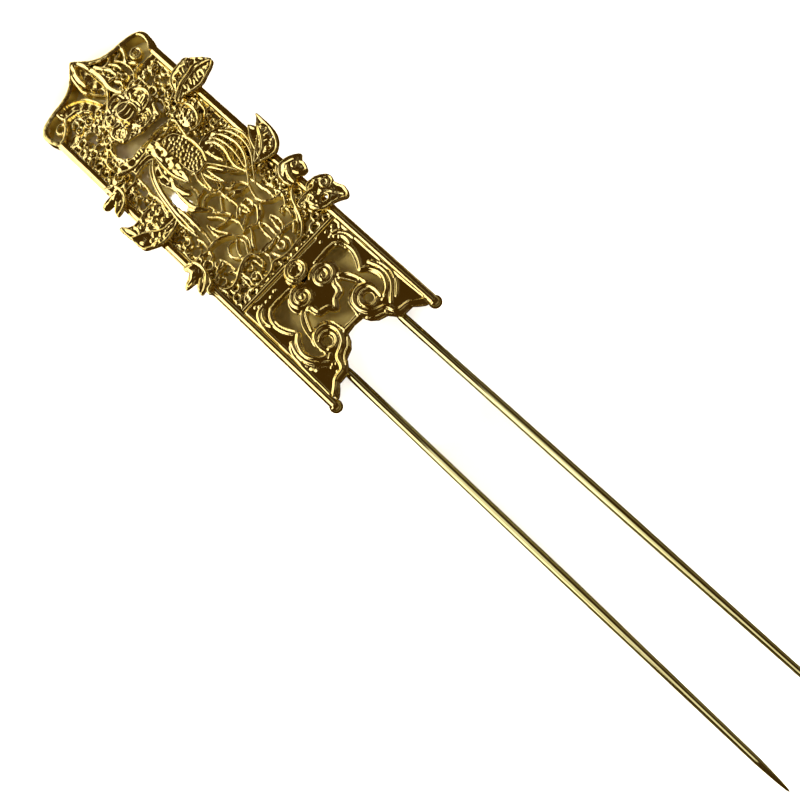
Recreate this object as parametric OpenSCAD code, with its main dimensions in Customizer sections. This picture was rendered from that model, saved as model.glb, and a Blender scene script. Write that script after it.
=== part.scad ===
// Two-pronged hair fork of gilt brass: a pierced head plate in a rectangular rail frame with a
// cloud-shaped top, a bird, a peony and leaves laid over the openwork, and two straight prongs.
// The fork lies on its back. X runs across it, +Y towards the peak of the head, +Z up out of the face.
// Plan places are measured from the roots of the prongs (y = 0), and the whole is then moved so that
// the origin is the middle of the cross bar's underside.

/* [Rails and head] */
// Width over the rails at their lower ends
rail_span = 23.2; // [23:0.1:24]
// Width over the rails at the head, where the fork is a little wider
head_span = 24.9; // [24.6:0.1:26]
// Thickness of a rail
rail_t = 1.4; // [1:0.1:1.5]
// Height of a rail's straight wall, below its rounded top
rail_h = 1.8; // [1.7:0.1:2.2]
// Width of the rim around the head
rim_t = 0.9; // [0.6:0.1:1.2]
// Width of the fine relief lines
line_t = 0.5; // [0.3:0.05:0.6]

/* [Prongs] */
// Length of each prong below its root
prong_l = 83; // [50:1:110]
// Diameter of each prong
prong_d = 1.5; // [1.2:0.1:1.5]
// Distance between the two prongs' centre lines
prong_pitch = 11.8; // [11:0.1:12.4]

/* [Openwork] */
// Radius of the round holes of the openwork panel
hole_r = 0.95; // [0.5:0.05:1.05]
// Thickness of the panel
panel_t = 0.6; // [0.4:0.1:0.7]

/* [Hidden] */
$fn = 48;
gold = "goldenrod";
bright = "gold";

// Clear gap kept between neighbouring pieces
gap = 0.12;
// The cross bar, whose middle is the origin
bar_y = 20.35;
bar_t = 0.7;
// Where the rails begin and end
rail_y0 = -2.6;
rail_y1 = 71;
// Heights of the layers
plate_z = prong_d + gap;
plate_t = 0.6;
relief_z = plate_z + plate_t - 0.1;
relief_h = 0.55;
panel_z = 0.9;
vine_h = 0.6;
rail_top = rail_h + rail_t / 2;
over_z = rail_top + gap;
leaf_t = 0.4;
head_h = 2.1;
// Centre lines of the rails at their two ends
rail_x0 = rail_span / 2 - rail_t / 2;
rail_x1 = head_span / 2 - rail_t / 2;

// A point of a smooth curve between b and c, with a before and d after
function blend(a, b, c, d, t) =
    0.5 * (2 * b + (c - a) * t + (2 * a - 5 * b + 4 * c - d) * t * t + (3 * b - a - 3 * c + d) * t * t * t);
// A smooth open curve through the points p
function curve(p, n = 4) = [
    for (i = [0 : len(p) - 2], k = [0 : n - 1])
        blend(p[max(i - 1, 0)], p[i], p[i + 1], p[min(i + 2, len(p) - 1)], k / n),
    p[len(p) - 1]
];
// A smooth closed curve through the points p
function ring(p, n = 4) = [
    for (i = [0 : len(p) - 1], k = [0 : n - 1])
        let (m = len(p)) blend(p[(i + m - 1) % m], p[i], p[(i + 1) % m], p[(i + 2) % m], k / n)
];
// A spiral about c, from radius r0 at angle a0 to radius r1 at angle a1
function spiral(c, r0, r1, a0, a1, n = 14) = [
    for (i = [0 : n])
        let (r = r0 + (r1 - r0) * i / n, a = a0 + (a1 - a0) * i / n) c + r * [cos(a), sin(a)]
];
// Half width of a line along its length: thin at the start, full in the middle, thin at the end
function half(t, w) = (t < 0.5 ? w[0] + (w[1] - w[0]) * 2 * t : w[1] + (w[2] - w[1]) * (2 * t - 1)) / 2;
function side(q, i) =
    let (d = q[min(i + 1, len(q) - 1)] - q[max(i - 1, 0)]) [-d[1], d[0]] / norm(d);

// A flat line of changing width along the points q
module line(q, w = [line_t, line_t, line_t]) {
    m = len(q) - 1;
    polygon(concat(
        [for (i = [0 : m]) q[i] + side(q, i) * half(i / m, w)],
        [for (i = [m : -1 : 0]) q[i] - side(q, i) * half(i / m, w)]
    ));
}
// A line that swells in the middle, as the chased strokes do
module stroke(p, w = 0.6, n = 3) {
    line(curve(p, n), [w * 0.6, w, w * 0.5]);
}
module both_sides() {
    children();
    mirror([1, 0, 0]) children();
}
// A flat layer from height z, h thick
module layer(z, h) {
    translate([0, -bar_y, z]) linear_extrude(h) children();
}

// Inner line of the rails at a given y, less the gap
function inside_x(y) = rail_x0 + (rail_x1 - rail_x0) * (y - rail_y0) / (rail_y1 - rail_y0) - rail_t / 2 - gap;

// Centre line of half of the head's rim, from the top of the rail to the peak
rim_line = [[rail_x1, 70], [rail_x1, 71.2], [12.3, 72.9], [12.65, 74.5], [12.3, 75.8], [11.1, 76.7],
            [8.9, 77.3], [6.3, 77.6], [4.2, 78.3], [2.4, 79.6], [1.0, 81.3], [0, 82.6]];

module rails() {
    slope = atan((rail_x1 - rail_x0) / (rail_y1 - rail_y0));
    both_sides() {
        layer(0, rail_h) line([[rail_x0, rail_y0], [rail_x1, rail_y1]], [rail_t, rail_t, rail_t]);
        translate([rail_x0, rail_y0 - bar_y, rail_h]) rotate([-90, 0, -slope])
            cylinder(r = rail_t / 2, h = rail_y1 - rail_y0);
        translate([rail_x0, rail_y0 - bar_y, 1.2]) sphere(r = 1.1);
    }
}
module head_rim() {
    layer(0, head_h) {
        both_sides() line(curve(rim_line, 3), [rim_t, rim_t, rim_t]);
        polygon([[-1.1, 81.8], [1.1, 81.8], [0, 83.3]]);
    }
}
// Curls in the lobes, the pointed petal in the middle and the leaf ribs beside it
module head_scrolls() {
    layer(0.6, 1.3) {
        both_sides() {
            line(spiral([9.2, 73.1], 0.7, 2.3, -90, 450), [0.5, 0.5, 0.6]);
            stroke([[8.4, 77.2], [7.3, 74.6], [7.2, 72.6], [8.2, 71.2]]);
            stroke([[0.2, 81.6], [1.5, 78.2], [1.6, 75.5], [0.9, 73], [0.1, 71.3]], 0.7);
            stroke([[8.9, 77.2], [6.2, 76.4], [4.4, 75.2], [3, 73.4], [1.6, 71]], 0.7);
            stroke([[2.5, 79.5], [2.6, 77], [2.4, 74.3], [2.9, 73]]);
        }
        translate([-rail_x1, 69.6]) square([2 * rail_x1, 1.5]);
    }
}
module frame() {
    color(gold) {
        rails();
        head_rim();
        head_scrolls();
        layer(0, rail_h + 0.4) translate([-rail_x0 - 0.1, bar_y - bar_t / 2]) square([2 * rail_x0 + 0.2, bar_t]);
    }
}

// Half of the lower plate's edge, from the middle of the bridge out to the rail
plate_edge = [[0, 4.7], [1.6, 4.5], [2.1, 3.3], [3, 2.3], [4.5, 1.7], [5.2, 0.6], [6, -0.2], [8, -0.3],
              [8.8, -1.2], [9.5, -1.8], [10, -2]];
// One side window and the crescent that runs on from it
window = [[3.1, 16.9], [7, 16.9], [7.9, 15.6], [7.8, 13.6], [7, 11.6], [6.5, 10.6], [7.4, 9.3], [8.1, 7.7],
          [7.9, 6.2], [7, 5.2], [6.1, 4.8], [6.5, 6], [6.6, 7.4], [6.2, 9], [5.9, 10.3], [5, 11.8],
          [4.5, 12.7], [5, 13.8], [4.9, 15.2], [4.2, 16.3]];
// The opening below the shield, half of it
heart = [[0, 5.7], [1.3, 5.8], [1.6, 7.2], [2.5, 8.5], [4.1, 9.2], [5.1, 9], [4.6, 10.3], [3.8, 11.8],
         [3.2, 11.9], [3.1, 10.6], [2.5, 9.9], [1.2, 9.6], [0.6, 8.7], [0, 8.3]];
module plate_outline() {
    both_sides() polygon(concat(plate_edge, [[inside_x(-2), -1.6], [inside_x(20), bar_y - bar_t / 2 - gap],
        [0, bar_y - bar_t / 2 - gap]]));
}
module plate_openings() {
    both_sides() {
        polygon(ring(window, 2));
        polygon(heart);
        translate([4.5, 6]) circle(r = 0.8, $fn = 24);
    }
}
module plate_relief() {
    both_sides() {
        // Rim of the window and the bands round the crescent
        stroke([[7.1, 16.7], [8.2, 15.3], [8.1, 13.4], [7.3, 11.4], [6.7, 10.4], [7.8, 9.2], [8.5, 7.6],
                [8.3, 5.9], [7.2, 4.7], [6, 4.2]], 0.7);
        stroke([[8.6, 9.6], [9.6, 8], [9.7, 6.4], [9, 4.6], [7.4, 2.8]], 0.7);
        line([[3, 16.8], [7.3, 16.8]]);
        stroke([[7.7, 18], [9, 17.6], [9.7, 16.4], [9.9, 14.7]], 0.7);
        stroke([[8.6, 17], [9, 16.2], [9.1, 14.8]], 0.6);
        // Spirals, the stems below them and the lower scrolls
        line(spiral([2.4, 14], 0.5, 2.3, 0, 690, 30), [0.4, 0.5, 0.6]);
        stroke([[4.2, 12.4], [5.2, 10.8], [6, 9], [6.4, 7.3], [6.2, 5.5]], 0.7);
        stroke([[3.7, 11.8], [4.7, 9.9], [5.3, 8.8]], 0.5);
        line(spiral([4.2, 6], 2.5, 1.2, 60, 500, 24), [0.5, 0.6, 0.6]);
        // Rim of the shield and the scalloped lower rim
        line([[3.2, 12.2], [2.9, 10.6], [2.5, 9.9], [1.1, 9.6], [0.5, 8.6], [0, 8.2]]);
        stroke([[1.7, 5], [2.3, 3.7], [3.8, 2.8], [5.1, 2.4], [5.4, 1.1], [6.4, 0.4], [8, 0.3], [9, -0.8],
                [10, -1.4]], 0.8);
    }
    translate([-1.8, 4.7]) square([3.6, 0.5]);
}
module lower_plate() {
    color(gold) {
        layer(plate_z, plate_t) difference() {
            plate_outline();
            plate_openings();
        }
        layer(relief_z, relief_h) intersection() {
            plate_relief();
            plate_outline();
        }
    }
}

// Rows of staggered holes across the panel
row_n = 17;
row_pitch = 2.85;
col_pitch = 2.8;
// Larger openings, each an outline
openings = [
    [[-6.6, 60.6], [-5.4, 61.6], [-3.6, 60.6], [-1, 59.3], [2.5, 59.2], [4.6, 59.4], [3, 58.2], [-1, 58], [-4.6, 58]],
    [[3.9, 60.8], [5.2, 60.8], [5.3, 62.6], [4.2, 63.4], [3.5, 62.2]],
    [[-4.6, 46.2], [-4, 44.6], [-3.9, 42.4], [-4.6, 40], [-5.5, 37.8], [-5.6, 41], [-5.2, 44]]
];
// Vines over the panel, each a chain of points
vines = [
    [[-10.2, 27.6], [-9.4, 25.4], [-7.4, 25.3], [-5.8, 26.4], [-3.6, 26.9], [-2.4, 25.2], [-3.6, 23.8]],
    [[-9.4, 22.6], [-7, 21.7], [-3, 22], [0, 21.6], [3, 21.7], [5.6, 22], [7.3, 25.6], [8.6, 29], [10.2, 29.6], [10.2, 28.2]],
    [[-10, 34.6], [-7.2, 33.1], [-4.9, 32.9], [-2.3, 31.2], [0.4, 30.8], [2.4, 32.6], [1.3, 34.6], [1.1, 39], [0.4, 43.6]],
    [[5.2, 36.6], [4.4, 34.1], [5, 32.1], [7.7, 30.6], [9.8, 32.4]],
    [[-9.8, 22.4], [-10, 30], [-9.6, 36], [-10, 42], [-9.8, 50], [-10, 56], [-9.4, 63], [-10, 69]],
    [[10, 22.2], [9.7, 36], [10, 44], [9.7, 52], [10.2, 60], [10, 69]],
    [[-6, 54.8], [-8.2, 53.4], [-9.8, 54]],
    [[7.4, 38.8], [8.4, 41.6], [8.9, 43.6], [8.6, 46], [7.2, 47.6]],
    [[5.3, 57.8], [8.4, 57], [9.6, 54.5], [8.9, 52]],
    [[-9.6, 62.8], [-8, 61.4], [-8.6, 59.8], [-9.8, 60.4]],
    [[8.8, 68.8], [6.6, 66.6], [8.6, 65], [9.8, 66.6]],
    [[-9.4, 68.6], [-7, 67], [-8.4, 65.2], [-9.6, 66]]
];
// Wire rings on the panel, each bent round from one piece: centre and outer radius
wire_rings = [[[-3.5, 29.2], 1.7], [[-2.1, 33.2], 1.6], [[1.6, 27.6], 1.1], [[3.8, 27.6], 1.1], [[-5, 23.4], 1.2],
              [[6.9, 63], 1.7], [[-6.6, 51], 1.2]];
module panel_outline() {
    both_sides() polygon([[0, bar_y + bar_t / 2 + gap], [inside_x(21), bar_y + bar_t / 2 + gap],
                          [inside_x(69), 69.6 - gap], [0, 69.6 - gap]]);
}
module panel_holes() {
    for (i = [0 : row_n - 1], j = [0 : 6 - i % 2])
        translate([(j - 3 + (i % 2) / 2) * col_pitch, 22.5 + i * row_pitch]) circle(r = hole_r, $fn = 16);
    for (p = openings) polygon(p);
}
module panel() {
    color(gold) {
        layer(panel_z, panel_t) difference() {
            panel_outline();
            panel_holes();
        }
        layer(panel_z + panel_t - 0.1, vine_h) intersection() {
            union() {
                for (v = vines) stroke(v, 0.8, 3);
                for (w = wire_rings) line(spiral(w[0], w[1] - 0.3, w[1] - 0.3, 100, 450, 18), [0.5, 0.6, 0.5]);
            }
            translate([-inside_x(21) + 0.2, 21]) square([2 * inside_x(21) - 0.4, 48]);
        }
    }
}

boss_y = 18.3;
module boss() {
    color(bright) translate([0, boss_y - bar_y, over_z]) {
        rotate_extrude() polygon([[0, 0], [2, 0], [2.05, 0.3], [1.7, 0.5], [1.35, 0.3], [1.1, 0.7], [0.6, 0.95], [0, 1.05]]);
    }
}

flower_y = 64.6;
module petal(r, w, n, a0, h) {
    for (i = [0 : n - 1]) rotate(a0 + 360 * i / n) translate([r, 0, 0]) cylinder(r = w, h = h, $fn = 32);
}
module peony() {
    color(gold) translate([0.2, flower_y - bar_y, over_z]) {
        cylinder(r = 4.4, h = 0.35);
        petal(3.7, 1.7, 8, 22.5, 0.4);
        translate([0, 0, 0.3]) {
            petal(2.2, 1.25, 6, 0, 0.45);
            cylinder(r = 2.2, h = 0.4);
        }
    }
}
module peony_heart() {
    color(bright) translate([0.2, flower_y + 0.5 - bar_y, over_z + 0.75 + gap])
        rotate_extrude() polygon([[0, 0], [1.5, 0], [1.5, 0.25], [1.1, 0.5], [0.6, 0.7], [0, 0.75]]);
}
module rosette() {
    color(bright) translate([7, 54.2 - bar_y, over_z])
        rotate_extrude() polygon([[0, 0], [1.7, 0], [1.7, 0.25], [1.2, 0.45], [0.9, 0.3], [0.6, 0.55], [0, 0.65]]);
}

// The bird, seen from above with its tail down the left side
module bird_body() {
    // Half of an oval, lying with its long axis along the fork
    color(gold) translate([2, 49.3 - bar_y, over_z]) intersection() {
        rotate([-90, 0, 4]) rotate_extrude() polygon([for (a = [-90 : 15 : 90]) [1.8 * cos(a), 4.7 * sin(a)]]);
        translate([-3, -6, 0]) cube([6, 12, 1.2]);
    }
}
module bird_neck() {
    color(bright) layer(over_z, 0.8) polygon(ring([[-1.8, 56.3], [-0.6, 56.2], [-0.2, 54.2], [-0.2, 51.6],
        [-0.5, 49], [-0.6, 46], [-1.3, 46.4], [-1.9, 49], [-2.1, 52], [-2.2, 54.4]]));
}
module bird_wing_left() {
    color(gold) layer(over_z, 0.5) {
        polygon(ring([[-2.7, 52], [-3.5, 52.6], [-4.5, 50], [-4.4, 47], [-3.4, 45.4], [-2.6, 47.4], [-2.5, 49.8]]));
        polygon(ring([[-2.4, 56.2], [-3.2, 57.2], [-6.5, 57.2], [-8.9, 57.9], [-8.4, 56.2], [-6.4, 55.2], [-3, 54.8],
                      [-2.6, 53.4], [-3.3, 51.6], [-2.8, 51.2], [-2.45, 53]]));
    }
}
module bird_wing_right() {
    color(gold) layer(over_z, 0.5) {
        stroke([[4.1, 47.4], [5.2, 46.6], [5.7, 44.4], [5.4, 42], [6.6, 38.6]], 0.9);
        stroke([[5.8, 47.8], [7.1, 46.2], [7.3, 44], [6.7, 41.6], [6.6, 38.6]], 0.8);
        stroke([[7.2, 47], [8.5, 45.4], [8.7, 43.4], [8, 40.8], [6.8, 38.7]], 0.8);
        stroke([[9.2, 46.2], [10, 44.4], [10, 42.4], [9, 40], [6.9, 38.5]], 0.8);
        stroke([[4.3, 47.2], [6, 48], [8.2, 47.6], [9.6, 46]], 0.7);
    }
}
module bird_tail() {
    color(gold) layer(over_z, 0.5) {
        stroke([[-5.2, 53.2], [-5.6, 49.6], [-6.1, 46], [-6.3, 42], [-6.6, 38]], 0.8);
        stroke([[-5.1, 53], [-6.4, 49.6], [-6.9, 46], [-7.2, 42.4], [-7.9, 39.6]], 0.7);
        stroke([[-5.3, 52.6], [-5, 49], [-5.2, 46.4]], 0.6);
    }
}

// A leaf: a flat blade with a raised midrib
module leaf(edge, rib) {
    color(gold) {
        layer(over_z, leaf_t) polygon(ring(edge, 3));
        layer(over_z + leaf_t - 0.1, 0.35) stroke(rib, 0.5);
    }
}
// A small three-lobed leaf round a curl
module trefoil(c, r, a) {
    color(gold) {
        layer(over_z, leaf_t) translate(c) rotate(a) {
            circle(r = r);
            for (k = [-1 : 1]) rotate(75 * k) translate([1.25 * r, 0]) circle(r = 0.72 * r, $fn = 32);
        }
        layer(over_z + leaf_t - 0.1, 0.35) translate(c) line(spiral([0, 0], 0.3, 0.8 * r, a, a + 400), [0.3, 0.4, 0.4]);
    }
}
module leaf_upper_right() {
    difference() {
        leaf([[8.5, 58.8], [9.6, 61.5], [11.8, 64], [13.6, 64], [15, 62.6], [16.4, 60.4], [17, 59.6], [16.4, 58.5],
              [14, 58.3], [11.5, 57.8]], [[9.4, 59.6], [12.5, 60.7], [16.2, 60]]);
        color(gold) layer(over_z - 1, 3) {
            translate([11, 61.6]) circle(r = 0.6, $fn = 24);
            translate([12.8, 62.6]) circle(r = 0.55, $fn = 24);
            translate([14.3, 61.6]) circle(r = 0.5, $fn = 24);
            translate([12.6, 59.2]) circle(r = 0.5, $fn = 24);
        }
    }
}
module leaf_middle_right() {
    leaf([[10.6, 38], [10.8, 41], [11.6, 43.6], [13.2, 44.2], [15, 44.6], [14.4, 42.9], [14.9, 41.4], [14.1, 40.2],
          [14.2, 38.6], [13, 37.6], [11.8, 36.9]], [[11.2, 38], [12.6, 40.8], [14.4, 43.9]]);
}
module leaf_small_right() {
    trefoil([11.8, 32.2], 1.3, -10);
}
module leaf_lower_right() {
    leaf([[8, 27.4], [10.2, 27.8], [12.2, 26.8], [14, 25], [15.1, 22.6], [14.4, 20.9], [12.7, 21.4], [11.2, 22.6],
          [9.2, 23], [8.4, 25]], [[8.6, 26.2], [12, 24.2], [14.4, 21.8]]);
}
module leaf_small_left_upper() {
    trefoil([-12, 53.8], 1.4, 178);
}
module leaf_middle_left() {
    leaf([[-8.3, 40.4], [-9.8, 40.3], [-12, 40.2], [-14.2, 41.8], [-14.7, 43.8], [-14.8, 46], [-15, 48.9],
          [-13, 47.6], [-10.8, 47], [-8.8, 45.6], [-7.9, 43.2]], [[-8.4, 41.9], [-11, 43.6], [-14.4, 47.8]]);
}
module leaf_small_left_lower() {
    trefoil([-11.5, 31], 1.4, 176);
}

// Length and width of a prong's hammered square root, which lies behind the plate, and where the round
// shank begins, just below the plate's edge
root_l = 9;
root_w = 1;
shank_y = -1;
// Ends of the straight stretch and of the long taper, as shares of the prong's length
straight_end = 0.55;
taper_end = 0.94;
// A straight prong, tapering over its lower half to a point
module prong(x) {
    r = prong_d / 2;
    color(bright) translate([x, -bar_y, r]) {
        translate([-root_w / 2, shank_y - 0.2, -root_w / 2]) cube([root_w, root_l - shank_y, root_w]);
        translate([0, shank_y, 0]) rotate([90, 0, 0]) cylinder(r = r, h = prong_l * straight_end + shank_y);
        translate([0, -prong_l * straight_end, 0]) rotate([90, 0, 0])
            cylinder(r1 = r, r2 = r * 0.68, h = prong_l * (taper_end - straight_end));
        translate([0, -prong_l * taper_end, 0]) rotate([90, 0, 0])
            cylinder(r1 = r * 0.68, r2 = r * 0.2, h = prong_l * (1 - taper_end));
    }
}
module prong_left() {
    prong(-prong_pitch / 2);
}
module prong_right() {
    prong(prong_pitch / 2);
}

frame();
lower_plate();
panel();
boss();
peony();
peony_heart();
rosette();
bird_body();
bird_neck();
bird_wing_left();
bird_wing_right();
bird_tail();
leaf_upper_right();
leaf_middle_right();
leaf_small_right();
leaf_lower_right();
leaf_small_left_upper();
leaf_middle_left();
leaf_small_left_lower();
prong_left();
prong_right();
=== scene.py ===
import math
import bpy
import numpy as np
from mathutils import Matrix, Vector


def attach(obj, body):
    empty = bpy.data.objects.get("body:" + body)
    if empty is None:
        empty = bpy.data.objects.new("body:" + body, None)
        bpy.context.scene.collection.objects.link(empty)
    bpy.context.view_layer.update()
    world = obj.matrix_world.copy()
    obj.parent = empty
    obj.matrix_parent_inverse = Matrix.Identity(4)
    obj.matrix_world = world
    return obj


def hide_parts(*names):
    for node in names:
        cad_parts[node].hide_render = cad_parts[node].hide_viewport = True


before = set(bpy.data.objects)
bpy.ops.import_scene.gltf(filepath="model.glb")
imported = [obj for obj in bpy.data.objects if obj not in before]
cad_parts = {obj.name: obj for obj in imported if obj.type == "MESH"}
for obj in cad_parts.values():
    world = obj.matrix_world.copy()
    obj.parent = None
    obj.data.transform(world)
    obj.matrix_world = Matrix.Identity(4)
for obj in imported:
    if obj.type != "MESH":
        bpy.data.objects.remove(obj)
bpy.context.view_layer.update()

# Places are in millimetres from the roots of the prongs, as in the part's source: X across the fork,
# Y towards the peak, Z up out of the face. The frame's origin lies at the cross bar.
MM = 0.001
BAR_Y = 20.35
# The rails from their lower to their upper end, the balls they end in, and the cross bar
RAIL_T, RAIL_TOP = 1.4, 2.4
RAIL_X0, RAIL_X1 = 10.9, 11.75
RAIL_Y0, RAIL_Y1 = -2.6, 71.0
BALL_R, BALL_Z = 1.08, 1.2
BAR_END, BAR_T, BAR_WALL, BAR_CROWN = 10.4, 0.7, 1.9, 0.3
# The head's rim, the heights between which the cast sheets lie, and the gap they leave beside the rails
RIM_T, RIM_TOP = 1.0, 1.95
HEAD_LOW, HEAD_TOP = 0.55, 1.2
# Heights from which the head's strokes rise: on the rim, inside it, and its rings
HIGH_Z, SCROLL_Z, HEAD_RING_Z = 2.0, 1.72, 1.55
PLATE_LOW, PLATE_TOP = 1.62, 2.22
PANEL_LOW, PANEL_TOP = 0.9, 1.5
OVER_Z = 2.62
GAP = 0.12
PRONG_X, PRONG_Z = 5.9, 0.75

# The camera: where it looks, how far off it stands, and how it is turned
LENS, DISTANCE = 49.5, 164.7
AZ, EL, ROLL = math.radians(-1.31), math.radians(66.82), math.radians(-45.37)
TARGET = Vector((-3.58, -8.95, 0))
BACK = Vector((math.sin(AZ) * math.cos(EL), -math.cos(AZ) * math.cos(EL), math.sin(EL)))
EYE = np.array(TARGET + BACK * DISTANCE)
READ_Z = 1.5
# Above BEND_Y the photographed fork leans slightly to the left, which the model leaves out
BEND, BEND_Y = 0.012, 15
# Stroke tops fall off in this direction where they are tilted
ASIDE = (0.88, -0.47)


def seen(points, z):
    """Places read off the photograph on a plane READ_Z up, carried along the sight line to height z."""
    p = np.atleast_2d(np.asarray(points, float)).copy()
    p += (EYE[:2] - p) * (z - READ_Z) / (EYE[2] - READ_Z)
    p[:, 0] += BEND * np.maximum(p[:, 1] - BEND_Y, 0)
    return p


def pts(text):
    """Places written as x,y pairs."""
    return [[float(v) for v in pair.split(",")] for pair in text.split()]


def outlines(text):
    """Several lists of places, with semicolons between them."""
    return [pts(part) for part in text.split(";")]


def marks(text):
    """Lists of places with their sizes, which stand before a colon and hold until the next one."""
    rows = []
    for part in text.split(";"):
        if ":" in part:
            head, part = part.split(":")
            sizes = [float(v) for v in head.split()]
        rows.append((pts(part), *sizes))
    return rows


def disc(centre, rx, ry=None, turn=0):
    """The outline of an oval."""
    a = np.linspace(0, 2 * np.pi, 14, endpoint=False)
    x, y = rx * np.cos(a), (ry or rx) * np.sin(a)
    c, s = math.cos(math.radians(turn)), math.sin(math.radians(turn))
    return np.stack([centre[0] + c * x - s * y, centre[1] + s * x + c * y], 1)


# Curves and the cast relief

def smooth_path(points, closed=False):
    """A Catmull-Rom curve through the points, with about four steps to the millimetre."""
    p = np.asarray(points, float)
    n = len(p)
    out = []
    for i in range(n if closed else n - 1):
        if closed:
            a, b, c, d = p[i - 1], p[i], p[(i + 1) % n], p[(i + 2) % n]
        else:
            a, b, c, d = p[max(i - 1, 0)], p[i], p[i + 1], p[min(i + 2, n - 1)]
        steps = max(2, int(np.linalg.norm(c - b) * 4))
        t = np.linspace(0, 1, steps, endpoint=False)[:, None]
        out.append(0.5 * (2 * b + (c - a) * t + (2 * a - 5 * b + 4 * c - d) * t ** 2
                          + (3 * b - a - 3 * c + d) * t ** 3))
    if not closed:
        out.append(p[-1:])
    return np.concatenate(out)


def spiral_path(centre, r0, r1, a0, a1):
    """A spiral about centre from radius r0 at angle a0 to radius r1 at angle a1, in degrees."""
    n = max(8, int(abs(a1 - a0) / 18))
    t = np.linspace(0, 1, n)
    a = np.radians(a0 + (a1 - a0) * t)
    r = r0 + (r1 - r0) * t
    return np.stack([centre[0] + r * np.cos(a), centre[1] + r * np.sin(a)], 1)


def flipped(points):
    """The same points on the other side of the fork's middle."""
    return np.asarray(points, float) * [-1, 1]


def within(loop, px, py):
    """Whether each place lies inside the closed outline."""
    inside = np.zeros(px.shape, bool)
    for a, b in zip(loop, np.roll(loop, -1, 0)):
        if a[1] != b[1]:
            inside ^= ((a[1] > py) != (b[1] > py)) & (px < (b[0] - a[0]) * (py - a[1]) / (b[1] - a[1]) + a[0])
    return inside


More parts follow.
